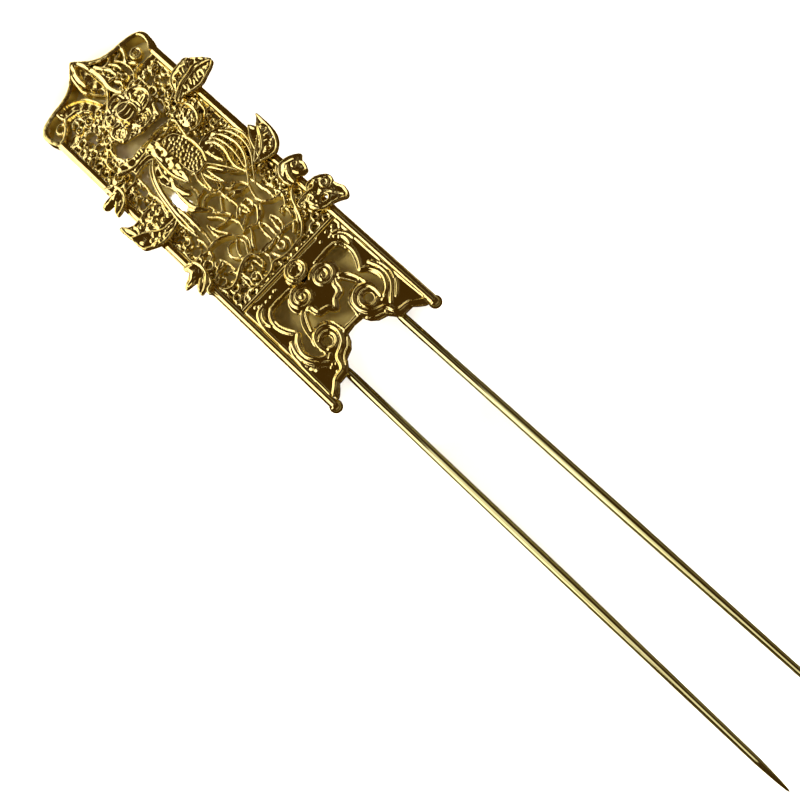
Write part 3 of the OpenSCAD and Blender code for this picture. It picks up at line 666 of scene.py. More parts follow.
# Thin wires: width and places
WIRES = marks("""
    0.34: -7.2,30.6 -6.8,29.6 -6.65,28.4 -6.6,26.6; -6.85,25.6 -6.8,24.2 -6.95,22.6;
    -8.8,29.6 -8,30 -7.2,30.2; -4.9,31.1 -5.4,30.3 -5.5,29.5 -5.3,28.8 -4.8,28.1 -4.4,27.4;
    -2.9,31 -3.6,30.3 -4.1,29.5 -4.4,28.6 -4.2,27.6;
    -2.3,31.3 -1.75,30.6 -1.55,29.7 -1.8,28.8 -2.5,27.8 -3.2,27.2; -2.5,30.6 -2.3,29.6 -2.7,28.6 -3.3,27.6;
    1.1,26.2 1.05,27 1.05,28.4 1.25,29.5 1.7,30.1; 2.1,26 2.15,27 2.2,28 2.1,29.1 1.7,29.9; -5.9,26.2 -5,26.5
    -4.2,26.4 -3.6,26 -3.3,25.3 -3.3,24.4 -3.1,23.8; -6.7,21.4 -5.5,21.1 -4.2,21.2 -3,21.4;
    -1.4,25.6 -0.2,25.5 0.9,25.6 1.9,26; -1.8,23.2 -1.2,24.2 -1.4,25.2; 2.6,22.8 3,23.8 2.8,24.8;
    -5.2,25.4 -4.4,24.8 -4.2,25.8; 2,26.2 2,25 1.5,24.9; -0.4,24.4 -0.3,23.6 0.1,22.6;
    3.4,29.4 3.3,28.4 3.1,27.4 3,26 2.4,25.6; 3.7,29.6 4.1,28.6 4.2,27.6 4,26.7 3.4,25.9;
    5.3,28.2 5.75,28.7 6.2,28.4 6.3,27.7 6,26.6; 2.7,31 3.4,31.8 3.9,32.6; 1.2,30.2 2,31 2.9,32.2 3.4,33.2;
    0.8,30.3 1.6,30.5 2.5,31.2; -0.9,31.6 -0.2,32.2 0.9,32.8;
    0.36: 0.3,39.1 -0.4,38.2 -1,37.2 -1.3,36.7; 0.4,33.9 0.9,34.4 1.3,34.7; 3.3,32.6 2.8,31.6 2,30.6;
    -4,41.2 -3.4,40.6 -2.7,39.4; 1.35,41.3 1.05,40.2 0.85,39.2 0.95,38 1.1,36.8 1.1,35.6 1.1,34.3 1.5,33;
    -0.3,45 -0.2,43.5 0,42.4 0.4,41.2 0.9,40; 0.4,44.8 0.3,43.6 0.1,42.4;
    1,44.9 1.3,43.5 1.6,42.2 1.9,41 1.6,40.4 1.1,40.2; 2.2,44.5 2.8,44.2 3.3,43.4 3.7,42.7;
    6.3,43.6 6.1,42.4 6.05,41 6,40 6.2,39; 3,38.9 3.8,38.9 4.4,38.3 4.8,37.4 4.95,36.6; 4.95,36.6 4.6,35.8
    4.3,34.8 4.2,33.7 4.5,32.7 5.1,32 5.9,31.4 6.9,31.1; 5.9,37.2 6.1,36 6.1,35 6.2,34 6.4,33 6.2,31.3;
    8.6,36.2 7.7,35.7 7.3,34.7 7.3,33.6 7.6,32.6; 8.5,35 8.7,34 8.6,32.8 8.9,31.6;
    7.2,43.7 6.5,42.9 6.2,41.8; -4.6,37.2 -4.4,36.2 -4.2,35.2 -3.9,34.4 -3.4,33.5 -2.9,32.4;
    -1.5,35 -1.1,34.4 -0.8,33.6 -0.7,32.6 -1.1,31.4; -0.5,33.8 0.2,34.5 0.9,35.2;
    -2.4,38.2 -1.5,36.8 -0.9,36 -0.6,35.1; -3.6,38.2 -3,37.4 -2.4,36.6 -1.9,35.2;
    -2.25,39.5 -2,38.4 -2.2,37.6; -2.9,40.2 -2.3,40.9 -1.2,41.3 -0.2,41 0.3,40.4;
    -7.4,36.6 -7.1,35.4 -7.2,34.4 -7.4,33.4; -5.8,37.8 -5.9,36.6 -6,35.4 -6.3,34;
    -4.8,37 -4.9,35.6 -4.7,34.2 -4.4,33.4; 2,39.6 2.5,39 3.2,38.7; 1.4,37.5 2.4,37.4 3.2,36.8;
    2.2,35.2 3,35.2 3.2,34.4 3.2,33.2; 1.8,35.3 2,34 1.9,32.8; -0.1,30.6 -0.6,29.6 -1.4,28.6 -1.9,27.6;
    -0.9,42.6 -1.8,42.5 -2.6,42.2 -3.4,41.2; -1.9,45 -1.8,43.6 -2.2,42.4; 6.8,31.2 7.8,30.9 8.6,30.2;
    7.2,32.4 7.6,31.4 7.4,30.2 6.8,29.2; -7.2,57.8 -6.3,55.6 -5.9,55.2;
    -3.2,58.3 -1.5,58.3 0.5,58.5 2.2,58.3 3.4,57.8; 0.6,57.2 1.6,56.7 2.8,57.1 3.3,57.7;
    2.2,57.6 2.7,57 3.4,56.2;
    0.42: -7.1,54.8 -7.2,53 -7.25,51.4 -7.5,50 -7.3,48.5 -7.2,46.6; -4.9,63.5 -5.8,63.7 -6.6,63.2 -7.1,62.2
    -7.2,61 -7,60 -6.5,59 -5.8,58.3; 3.6,64.4 3.1,62.6 3.4,61 4.1,60.2 5,60.8 5.4,62.4 4.8,64.4;
    7.8,57.4 8.1,56 8,54.6 7.4,53.4; 9.3,57.6 9.5,55.8 9.3,54.4 8.8,53.4 7.8,52.4 6.6,51.4 5.9,50.8;
    7.6,53.8 6.8,53 6,52.2; 3.7,58.2 4.4,57 4.1,55 3.8,53 3.7,51; 5.4,57 5.5,55 5.4,53.4 5.2,51.6;
    4.2,53 5.6,52.9; -6.1,26.4 -6.3,25.2 -6.1,24 -6.3,23 -5.7,22.3;
    -4.5,22.5 -4.3,23.4 -4.7,24.1 -5.3,24.2 -5.8,23.8; -5.6,23.4 -5.1,23.1 -4.9,23.5;
    0.9,24.7 0.8,24 1.4,23.4 2,23.8 1.9,24.6 1.6,25; 8.4,60.2 8.2,58.6 8.6,57.2;
    9.6,59.4 10.2,58.2 10.8,57.4; 3.4,26 4.4,25.8 5.6,25.4 6.4,25.2; 4.4,24.3 5,24.9 5.7,25.5""")
# Rings: radius, width and middle
RINGS = marks("""
    0.5 0.35: 7.8,34.2; 1.1 0.45: -9,45.6; 0.8 0.35: -9.5,27.4; 0.65 0.4: 1.3,24.2; 0.5 0.3: 3.65,27.8;
    0.5 0.35: -3.8,23; 0.45 0.3: 5.7,22; 0.6 0.35: 2.4,33.6; 0.4 0.3: 3.3,39.3; 0.8 0.45: -10.4,62""")
# Ranges of x and y that are filled with small curls, which the photograph shows too finely to read
CURL_FIELDS = [((-10.6, -7.2), (21.4, 58)), ((7.4, 10.9), (21.4, 60)), ((-10.8, -5), (58, 70)),
               ((-5.4, 5), (64, 70)), ((5, 11), (56.5, 70)), ((-7, 4), (21.2, 22.4))]
# Where the openwork ends
PANEL_Y0, PANEL_Y1 = 20.82, 69.48
# Heights from which vines, wires and rings rise, and from which the strips along the edges do
VINE_Z, WIRE_Z, RING_Z = 2.0, 1.9, 1.85
SIDE_Z, FOOT_Z = 1.6, 1.7


def curls(relief, x, y, pitch, seed):
    """Open rings and hooks of wire with grains between them, on a jittered grid over the ranges x and y."""
    rng = np.random.default_rng(seed)
    for j, cy in enumerate(np.arange(y[0], y[1], pitch * 0.9)):
        for cx in np.arange(x[0] + (j % 2) * pitch / 2, x[1], pitch):
            c = np.array([cx, cy]) + rng.uniform(-0.3, 0.3, 2)
            start = rng.uniform(0, 360)
            way = rng.choice([-1, 1])
            size = pitch * rng.uniform(0.42, 0.56)
            inner = size * rng.uniform(0.35, 0.9)
            path = spiral_path(c, inner, size, start, start + way * rng.uniform(230, 420))
            width = rng.uniform(0.5, 0.76)
            relief.stroke(path, width, 0.26, (0.8, 1), False, base=rng.uniform(1.5, 1.95), tilt=0.58)
            turn = rng.uniform(0, 6.28)
            g = c + pitch * rng.uniform(0.45, 0.6) * np.array([math.cos(turn), math.sin(turn)])
            relief.dot(*g, rng.uniform(0.24, 0.4), rng.uniform(0.3, 0.7))


def panel(name, y0, y1, seed):
    """The openwork between y0 and y1."""
    relief = Relief((-11.1, 11.1), (y0, y1), 0.115, PANEL_LOW, PANEL_TOP)
    for x, y in CURL_FIELDS:
        if y[0] < y1 and y[1] > y0:
            curls(relief, x, (max(y[0], y0 - 0.8), min(y[1], y1 + 0.8)), 1.8, seed + int(y[0]))
    relief.sheet(seen(PATCH, VINE_Z))
    for points in OPENINGS:
        relief.cut(seen(points, VINE_Z))
    for line, width in VINES:
        relief.stroke(seen(line, VINE_Z), width, 0.42 * width + 0.04, base=VINE_Z, tilt=0.2)
    for line, width in WIRES:
        relief.stroke(seen(line, VINE_Z), 1.45 * width, 0.5 * width, (0.85, 0.85), base=WIRE_Z, tilt=0.62)
    for (centre,), r, width in RINGS:
        ring = seen(spiral_path(centre, r * 0.9, r, 90, 440), VINE_Z)
        relief.stroke(ring, width, 0.15, (0.9, 0.9), False, base=RING_Z, tilt=0.5)
    for side in (-1, 1):
        edge = [[side * (rail_inner(y) - 0.2), y] for y in (20.9, 45, 69.4)]
        relief.stroke(edge, 0.45, 0.25, (1, 1), False, base=SIDE_Z)
    relief.stroke([[-10.2, 21.05], [10.2, 21.05]], 0.42, 0.2, (1, 1), False, base=FOOT_Z)
    relief.stroke([[-10.8, 69.2], [10.8, 69.2]], 0.5, 0.2, (1, 1), False)
    # Nothing reaches past the gap beside the rails, or past either end
    for inside in (rail_inner(relief.y) - np.abs(relief.x), relief.y - max(y0, PANEL_Y0),
                   min(y1, PANEL_Y1) - relief.y):
        relief.metal = np.minimum(relief.metal, inside)
    relief.soften()
    relief.ripple(0.03, 2.0, seed)
    return relief.mesh(name, 0.1)


dress(panel("panel_lower", 20.8, 45.0, 11), "panel")
dress(panel("panel_upper", 45.0, 69.5, 12), "panel")


# Ornaments laid over the openwork: leaves, bird, peony, rosette and boss

def grains(relief, loop, pitch, r, height, seed):
    """Small grains scattered inside an outline, none nearer to another than pitch."""
    rng = np.random.default_rng(seed)
    tries = rng.uniform(loop.min(0), loop.max(0), (1500, 2))
    kept = []
    for p in tries[within(loop, tries[:, 0], tries[:, 1])]:
        if all(np.hypot(*(p - q)) > pitch for q in kept):
            kept.append(p)
            relief.dot(*p, r * rng.uniform(0.75, 1.2), height, True)


def ornament(node, seed, body, holes=(), leans=(), swells=(), strokes=(), rings=(), fields=(), top=2.95,
             z=3.2, step=0.09, wave=(0.05, 1.6)):
    """A cast ornament in place of a node, from outlines and strokes read on the photograph.

    leans: outline, rise from its left to its right edge. swells: outline, height, fall.
    strokes: points, width, height. rings: centre, radius, width, height. fields of grains: outline, pitch,
    radius. wave: depth and length of the hand-made unevenness. top: height of the face. z: height at which
    the readings lie.
    """
    loops = [smooth_path(seen(b, z), True) for b in body]
    corner = np.concatenate(loops + [seen(s[0], z) for s in strokes])
    lo, hi = corner.min(0) - 0.8, corner.max(0) + 0.8
    relief = Relief((lo[0], hi[0]), (lo[1], hi[1]), step, OVER_Z, top)
    for loop in loops:
        relief.sheet(loop, False)
    for points in holes:
        relief.cut(seen(points, z))
    for points, rise in leans:
        relief.lean(seen(points, z), rise)
    for points, height, fall in swells:
        relief.swell(seen(points, z), height, fall)
    relief.ripple(*wave, seed)
    for points, pitch, r in fields:
        grains(relief, smooth_path(seen(points, z), True), pitch, r, r * 0.9, seed)
    for points, width, height in strokes:
        relief.stroke(seen(points, z), width, 0.55 * height, lie=0.5, tilt=0.45)
    for (centre,), r, width, height in rings:
        ring = seen(spiral_path(centre, r, r, 80, 430), z)
        relief.stroke(ring, width, 0.6 * height, (0.9, 0.9), False, lie=0.5, tilt=0.4)
    relief.soften()
    dress(relief.mesh(node + "_cast", 0.14), node)


ornament(
    "leaf_upper_right", 21,
    body=outlines("""
        8.2,61.4 8.4,63 9.6,64.6 11,65.1 13.4,65.4 14.2,64.2 15.6,62.4 16.55,60.9 16.3,59.9 14.4,59.2
        12.4,58.4 10.6,58.6 9,59.6 7.4,59.4 6.9,60.3"""),
    holes=[disc((10.75, 63.2), 0.42), disc((9.35, 63), 0.3), disc((12.4, 60.2), 0.3),
           disc((14.2, 60.6), 0.28)],
    swells=marks("0.35 1.2: 8.8,61.8 9,63.4 10.4,64.8 13.2,65 14.4,63.4 12,62.4"),
    strokes=marks("""
        0.6 0.55: 8.3,62.2 8.9,63.8 10.2,64.8 11.6,65 13.4,65.2 14.1,64.4;
        0.55 0.6: 7.2,60.2 8.6,61.2 10,61.8 12,62.2 13.6,62.7 14.6,62.4;
        0.4 0.45: 7.6,59.6 9.4,60.9 11.4,61.4 13.4,61.7 15,61.4 16.2,60.8;
        0.5 0.5: 16.5,60.5 15.6,59.7 14.2,59.2 12.4,58.6 10.8,58.8 9.2,59.6;
        0.4 0.35: 14.2,64.4 15.4,62.8 16.6,61;
        0.4 0.4: 11.6,62.2 11.9,63.3 12.7,64.6; 9.9,61.9 10,62.8 9.6,64;
        0.4 0.45: 10.1,61.3 10,60.8 10.05,60.2;
        0.5 0.5: 11.6,61.5 11.5,60.8 11.2,60.1;
        0.45 0.45: 12.9,61.3 12.5,60.5 12.3,59.4;
        0.55 0.5: 14,61 14.1,60.3 13.9,59.6;
        0.4 0.4: 14.7,60 15.3,60.1 15.7,60.6;
        0.6 0.5: 13.7,64.6 13.1,64.2 12.5,63.5;
        0.45 0.45: 11,64.3 11.3,63.4 11.1,62.6"""))
ornament(
    "leaf_middle_right", 22,
    body=outlines("""
        8.4,39 9.4,38.3 10.4,37.7 12,37.3 13.4,38.2 14.3,39.6 14.7,41.4 14.8,43.4 14.7,45.9 13.9,44.9 13.2,44
        12.3,45.4 11.5,44.4 10.8,43.2 10,41.6 9.4,40.4"""),
    holes=outlines("11.2,42.4 11.5,41.6 11,41.2 10.8,41.8")
        + [disc((11.7, 38.9), 0.3), disc((13.6, 40), 0.3)],
    swells=marks("0.3 1.1: 9,39.2 12,37.8 14,39.8 14.4,43 13,43.6 11.2,40.4"),
    strokes=marks("""
        0.6 0.6: 8.5,39.1 9.4,39.1 10.4,39.5 11.4,40.5 12.4,41.9 13,43.2 13.4,44.3;
        0.5 0.5: 9.5,39.4 10.1,41 10.6,42.6 11.4,44.2;
        0.55 0.5: 14.6,45.6 14.5,43.6 14.4,41.6 13.9,39.8 13.2,38.5 12,37.6 10.4,37.9 9.4,38.5;
        0.35 0.4: 11.5,44.2 12.2,45 12.6,43.8 13.2,44 14.5,45.5; 11.6,40.6 12.4,40.2 12.8,39.2;
        12.5,41.6 13.2,41 14,41.2; 10.4,39.4 10.8,38.6 11.4,38"""),
    rings=marks("0.55 0.35 0.4: 13.5,42.2; 0.5 0.3 0.35: 11.7,38.9"))
ornament(
    "leaf_small_right", 23,
    body=outlines("""
        9.1,33 9.6,34.4 10.8,35.4 12.4,35.2 13.8,34.5 14.6,33.5 14,32.8 13.7,31.8 13.3,30.4 12.2,30.3 11.2,31
        10.2,30.4 9.4,31.2"""),
    swells=marks("0.3 1: 9.8,33 10.8,34.8 12.6,34.6 13.8,33.6 12,32.4"),
    strokes=marks("""
        0.5 0.5: 9.6,30.8 9.3,32.4 9.7,34 10.8,35.1 12.4,35 13.8,34.2 14.4,33.5;
        0.6 0.6: 10.4,30.9 10.5,32.2 11,33.2 11.7,34.1""")
        + [(spiral_path((12.5, 33.1), 0.2, 0.85, 0, 500), 0.4, 0.5)] + marks("""
        0.45 0.5: 13.3,30.6 12.3,31.1 11.7,32 11.4,33;
        0.4 0.4: 13.4,30.9 13.7,32 13.4,32.8"""))
ornament(
    "leaf_lower_right", 24,
    body=outlines("""
        7.9,27.4 9.4,27.9 10.6,28 11.4,28.8 12.8,28.7 14,28 14.9,27 15,26 14.7,25.2 14.9,24.2 15.2,23.2
        14.9,21.9 14.3,21.3 13.3,21.9 12.4,22.5 10.6,22.8 9.5,23.8 8.8,25.2 8,26.2"""),
    holes=[disc((11.7, 27.75), 0.28)] + outlines("11.6,24.9 12.4,24.4 11.8,23.8 11,24.2"),
    swells=marks("""
        0.3 1.1: 10.8,27.8 12.6,28.4 14.4,27 14.4,25.6 12.8,26;
        0.25 1: 9.4,26.8 11.2,26.8 12.8,24.6 13.4,23 11,23.2 9.8,24.4"""),
    strokes=marks("""
        0.65 0.65: 8,27.2 9.4,27.5 11,27.3 12.1,26.3 13,24.9 13.8,23.4 14.4,22.2;
        0.5 0.5: 10.6,27.8 11.4,28.6 12.8,28.5 14,27.8 14.8,26.8 14.7,25.7 13.6,25.2; 14.6,25.2 14.8,24.2
        15.1,23.2 14.8,22 14.2,21.5 13.3,22.1 12.2,22.7 10.7,23 9.7,24 9.2,25.4 8.3,26.4;
        0.45 0.45: 8.6,26.8 9.5,26 9.8,25 10.5,24;
        0.4 0.4: 10.4,27.2 10.8,25.8 11.2,24.9;
        0.35 0.4: 12.3,26 13.2,25.3 14.3,25; 12,26.4 12.4,24.8 12.9,23.4"""),
    rings=marks("0.62 0.4 0.45: 13.5,26.4; 0.4 0.3 0.35: 10.2,26"))
ornament(
    "leaf_small_left_upper", 25,
    body=outlines("""
        -12.6,58.2 -11.6,58 -10.9,57 -10.4,55.4 -10.6,53.8 -11.6,52.5 -13,51.8 -14.2,51.8 -13.9,53.2 -13.3,54
        -14.6,54.2 -15.1,55.2 -14.4,56 -13.2,56.1 -12.7,56.2 -12.9,57.2"""),
    swells=marks("""
        0.35 0.9: -12.4,58 -11,56.8 -10.9,54.6 -12.4,54 -14.6,55 -13.8,55.8 -12.4,56"""),
    strokes=marks("""
        0.6 0.6: -11.3,57.6 -10.8,56.4 -10.6,55 -11,53.6 -12,52.6 -13.2,52.1 -14,52;
        0.4 0.45: -12.2,54.6 -12.8,53.8 -13.4,53.2 -14,52.6;
        0.35 0.4: -11.8,53.6 -12.6,53.2; -14.9,55.3 -13.8,54.9 -12.4,55.2; -12.5,57.9 -12.1,56.8 -12,55.8"""))
ornament(
    "leaf_middle_left", 26,
    body=outlines("""
        -15.4,49.9 -14.8,49.6 -14,48.5 -12.8,48 -11.4,48.3 -9.6,48.4 -8,47.8 -7.2,46.4 -7,44 -7.2,42.2
        -9,41.3 -11.2,41 -12.4,41.2 -13.8,42 -14.9,42.9 -15.2,44.4 -15.2,46.8 -15.6,49"""),
    holes=[disc((-10.2, 45.2), 0.3), disc((-12.4, 46.8), 0.3)],
    fields=marks("""
        1.15 0.42: -12.6,47.6 -8.4,47.4 -7.6,44 -9.4,43.8 -12,45.2;
        0.95 0.34: -13,42.8 -12.4,44 -10.6,42.4 -11.4,41.4 -12.8,41.8"""),
    strokes=marks("""
        0.6 0.65: -15.2,49.5 -15.2,47.4 -14.9,46.4 -13.6,45.6 -12.4,44.7 -11.4,43.7 -10.2,43 -8.6,42.9
        -7.2,42.8;
        0.5 0.5: -15.2,49.2 -14.4,48.6 -13.2,47.9 -11.4,48 -9.6,48.1 -8,47.4; -15.1,46.4 -15,44.4 -14.7,43.1
        -13.6,42.2 -12.3,41.5 -11,41.3 -9,41.6 -7.4,42.3;
        0.4 0.5: -10.1,42.6 -9.2,42.4 -8,42.2;
        0.4 0.45: -13.4,47.8 -13.2,46.8 -13.6,45.8;
        0.5 0.5: -7.3,46.8 -7.6,45 -7.2,43.6;
        0.6 0.5: -11.6,47.4 -10.8,46.6 -10.6,45.6;
        0.7 0.5: -14.8,48.6 -14.2,47.4 -14,46.4;
        0.55 0.5: -9.6,43 -8.8,42.6 -8.1,42.4"""),
    rings=marks("0.55 0.35 0.4: -10.2,45.4; -12.4,46.8; 0.45 0.3 0.4: -8.6,46.3"))
ornament(
    "leaf_small_left_lower", 27,
    body=outlines("""
        -12.4,34.9 -11.4,34.9 -10.5,34.2 -9.9,32.6 -10,30.8 -10.9,29.4 -12.4,28.6 -13.4,28.6 -13.3,29.9
        -12.8,30.9 -14.6,31.4 -14.1,32.3 -12.9,33 -12.2,33.4 -12.6,34.2"""),
    swells=marks("""
        0.35 0.9: -12.2,34.6 -10.8,34 -10.4,32 -11.4,31.2 -14,31.8 -12.4,33"""),
    strokes=marks("""
        0.6 0.6: -11.2,34.7 -10.4,33.8 -10.1,32.4 -10.4,30.9 -11.4,29.7 -12.6,28.9 -13.2,28.9;
        0.4 0.45: -14.4,31.5 -13.4,31.3 -12.2,31.6; -13,29.6 -12.2,30.4 -11.6,31;
        0.35 0.4: -12.4,34.6 -11.8,33.6 -11.8,32.6;
        0.75 0.6: -10.5,29.8 -11,28.8 -11.9,28.5 -12.2,27.9 -11.9,27.2"""))


# The bird: a granulated body, a bright neck, two wings and a long tail down the left side

NECK = pts("""
    -2.9,57.6 -1.6,57.9 -0.3,57.4 0,55.6 -0.1,53 -0.2,50.6 -0.5,48.4 -1,46.4 -1.6,46.2 -2.1,48.2 -2.6,50.6
    -2.8,53 -2.6,55.2""")
ornament(
    "bird_body", 31, top=2.85, step=0.075, wave=(0.02, 3),
    body=outlines("""
        0.1,56 1.2,56.4 2.6,55.8 3.4,54.2 3.6,52 3.7,50 3.5,47.6 2.7,46 1.4,45.6 0.4,46.4 -0.2,48.4 -0.3,51
        -0.2,54"""),
    strokes=marks("0.6 0.5: 3.5,53.8 4,51.6 4,49.8 3.8,48.2 3.2,46.6"),
    fields=marks("""
        0.62 0.24: 0.4,55.4 1.8,55.8 3,54 3.3,51 3.1,48 2,46.4 0.8,46.8 0.3,49 0.2,52"""))
ornament(
    "bird_neck", 32, top=2.95, z=3.4, step=0.075, wave=(0.09, 1.5),
    body=[NECK],
    leans=[(NECK, 0.42)],
    holes=[disc((-0.95, 54.6), 0.24), disc((-1.4, 52.1), 0.22), disc((-1.35, 50), 0.2),
           disc((-1.2, 56.3), 0.2)],
    strokes=marks("""
        0.55 0.5: -2.5,54.8 -2.6,52.6 -2.6,50.5 -2.4,49 -1.7,46.5;
        0.4 0.4: -2.4,56.9 -1.6,56.2 -1.9,55.4;
        0.35 0.3: -0.3,57.2 -0.2,54.8 -0.3,52 -0.5,49.6;
        0.5 0.5: -1.4,49 -1,48.2 -1.2,47.2"""))
ornament(
    "bird_wing_left", 33, z=3.1,
    body=outlines("""
        -3,53.8 -3.8,53.4 -4.8,51.4 -5,49.4 -4.4,47.6 -4.2,45.8 -3.6,44.2 -2.8,43.8 -2.4,44.4 -2.8,46.2
        -2.9,48.4 -2.8,51;
        -2.6,58 -3.6,58.6 -5,58.2 -6.6,58.7 -8.2,59 -9.3,57.9 -8.6,57 -7,56.2 -6.8,54.9 -5,55.1 -3,54.6
        -2.5,55.8"""),
    strokes=marks("""
        0.35 0.35: -8.8,58.2 -8,57.4 -6.8,56.7 -5.6,56.4 -4.4,56.7 -3.2,56.9;
        0.4 0.45: -6.4,55.9 -5,55.9 -3.4,55.9 -2.8,55.6;
        0.35 0.4: -7,55 -5.2,55.2 -3.2,54.9;
        0.5 0.5: -4.6,48.9 -4.9,49.9 -4.6,51.1;
        0.95 0.6: -3.4,48.3 -3.8,47 -3.3,45.2 -2.8,44;
        0.3 0.35: -3.2,52.8 -3.6,51 -3.6,49.4;
        0.3 0.4: -3.1,58.2 -3.2,57.4; -3.7,58.3 -3.8,57.5; -4.3,58.3 -4.4,57.5; -4.9,58.2 -5,57.6"""))
ornament(
    "bird_wing_right", 34,
    body=outlines("""
        4,49.8 5.6,50.4 8,50 9.2,48.6 8.2,48.4 6.4,48.9 5.8,47.4 5.8,45.4 5.3,43.8 4.6,44.4 4.2,46.4 4,48"""),
    strokes=marks("""
        0.75 0.7: 5.4,49 6.3,47.8 6.6,46 6.4,44.4 6,43 5.8,41.4 6.2,39.6 6.5,38.4;
        0.5 0.5: 6.4,49.2 7.1,47.8 7.4,46 7.4,44 7.2,42.2 6.8,40.4 6.5,38.6;
        0.7 0.7: 7.2,49.4 8.1,47.8 8.6,46 8.7,44 8.3,42 7.5,40.4 6.5,39 5.1,37;
        0.5 0.5: 8.4,48.9 9.4,47 9.8,44.8 9.6,42.4 8.8,40.4 7.4,38.4 5.9,36.2;
        0.45 0.45: 9.4,48.2 10.4,46.4 10.6,44.2 10.2,42.4 9.4,41;
        0.5 0.5: 12,42.4 10.6,41.2 9.2,40 8,38.8;
        0.45 0.45: 12.2,41.1 10.6,40 9.2,38.9;
        0.35 0.4: 4.4,49.9 6.2,50.2 8.2,49.5 9.1,48.6; 4.4,47.6 4.6,45.8 5.2,44.2;
        0.7 0.5: 8.4,38 9.3,37.5"""))
ornament(
    "bird_tail", 35, z=3.1,
    body=[disc((-6.3, 46.6), 0.4, 1.0, 10)]
        + outlines("-5.3,42.3 -5,41 -5.2,39.4 -5.5,38 -5.9,38.2 -6,40 -5.7,41.6"),
    strokes=marks("""
        0.85 0.7: -2.9,54.7 -3.8,53.8 -4.7,52.4 -5.4,50.6 -5.9,48.8 -6.3,46.8 -6.6,44.6 -6.7,42 -6.8,40
        -6.8,38;
        0.6 0.55: -3.4,54.8 -4.8,53.4 -5.8,51.2 -6.5,48.8 -6.9,46.2 -7.2,43.6 -7.4,41.2 -7.2,38.8 -7,37;
        0.8 0.6: -6.2,44.6 -6,42.6 -5.9,40.4 -5.95,37.4;
        0.95 0.7: -4.8,42.2 -4.4,41.3 -3.7,40.6 -2.7,39.2;
        0.8 0.6: -4.1,46.6 -4.25,44.8 -4.2,43.2 -3.9,41.6 -3.1,40;
        0.45 0.5: 0.2,46.2 -0.3,44.6 -0.2,43 0,41.3;
        0.5 0.55: 1,45.4 0.5,43.6 0.3,41.6; 1,45.4 1.4,43.6 1.9,41.8 2.2,41.2;
        0.55 0.55: 2,44.8 2.2,43 2.7,40.5;
        0.65 0.6: 2.5,45.2 3.3,43.8 4.2,41.8;
        0.4 0.5: 2.7,46.2 3.6,44.5 4.6,42.5 5.5,40.4;
        0.55 0.5: -0.4,46.6 1,45.9 2.8,46.2"""))


# The peony, its rolled heart, the rosette of grains and the boss

ornament(
    "peony", 41,
    body=outlines("""
        -4.9,63.2 -4.4,61.8 -3,61.4 -1.8,61 -0.6,60.6 0.6,60.6 2,60.4 3.4,60.4 4,62 4.6,63.8 5.2,65.6
        5.2,67.6 4.4,69.2 3,69.6 1.8,69.8 0.8,71.2 -1,71.1 -2.4,69.8 -3.6,69 -4.6,68 -4.4,66.6 -5.2,65"""),
    holes=[disc((2.6, 67.2), 0.3, 0.4), disc((3.75, 66.9), 0.28), disc((-4.3, 66.2), 0.28),
           disc((0.1, 69.7), 0.28, 0.34), disc((-1.9, 62.7), 0.25, 0.4)],
    leans=marks("""
        0.4: 1,64.2 2,64 2.1,66 1.8,67.6 1.1,67.4;
        0.6: 2.2,65 3.2,64.8 4.4,65.2 4.4,66.2 3,66.5;
        0.5: -4.8,62.6 -3.6,61.9 -2.5,62.4 -2.3,63.6 -3.2,64.4 -4.5,64.1"""),
    strokes=marks("""
        0.6 0.6: -1.2,61.8 -0.8,61.2 0,60.9 1.1,61 2.2,61.4;
        0.5 0.5: 2.4,61 2.9,60.7; 1,64.2 2.2,63.8 3.6,64.2 4.7,65.2 4.9,66.6 4.5,67.8 3.6,68.8;
        1.4,64.8 1.6,66 1.3,67.4;
        0.4 0.5: 2.2,64.6 2.3,65.8 2,66.8;
        0.45 0.5: 2.6,65.6 3.4,65.8 4.3,65.6;
        0.35 0.4: 2.6,64.7 3.4,64.8 4.2,65;
        0.45 0.5: -2.2,68.8 -1.9,70 -0.9,70.7 0.3,70.7 1.1,70 1.4,68.8;
        0.35 0.4: -1.7,69.4 -0.8,69.9 0.2,69.2;
        0.5 0.5: 1.6,68.8 2.8,69.3 4.2,68.8;
        0.45 0.5: -4.9,65 -4,65.6 -3,65.2 -2.2,65.6;
        0.35 0.4: -4.6,66.8 -3.8,66 -2.8,66.2;
        0.4 0.45: -2.3,64.6 -2.1,65.8 -2.3,67 -2.2,68.2; 3.4,60.8 3.6,62 4.1,63.2; 2.6,62 2.9,63 2.5,63.7;
        0.35 0.4: -0.9,63.4 -0.6,62.4 0.2,61.9"""),
    rings=marks("""
        0.95 0.4 0.5: -3.5,63.1; 0.4 0.3 0.35: -3.5,63.1; 1.15 0.4 0.5: 0.6,62.5; 0.6 0.3 0.4: 0.4,62.6;
        0.5 0.35 0.45: 1.7,62.4; 0.75 0.4 0.5: -3.1,67.4; 0.2 0.25 0.4: -3.1,67.4; 0.55 0.35 0.5: 2.6,67.3;
        0.5 0.35 0.5: 3.75,66.9; 0.4 0.3 0.4: 2.2,68.4; 0.35 0.3 0.4: -1.3,61.9"""),
    fields=marks("""
        0.7 0.2: -4.6,62.2 -2.4,61.8 -2.2,64.2 -4.4,64.4; -0.4,61.6 1.4,61.4 1.4,63.6 -0.4,63.8"""))
ornament(
    "peony_heart", 42, top=3.55, z=3.6, wave=(0.02, 2.5),
    body=outlines("""
        -1.9,66.8 -1.6,65.4 -1.2,64.3 0,64 0.9,64.5 1.1,66.2 1,67.9 0.1,68.6 -1.2,68.4"""),
    strokes=marks("""
        0.24 0.12: -1.5,65 -0.4,64.6 0.8,65;
        0.2 0.1: -1.6,66.1 -0.4,65.7 0.9,66; -1.5,67.3 -0.4,66.9 0.9,67.1"""))
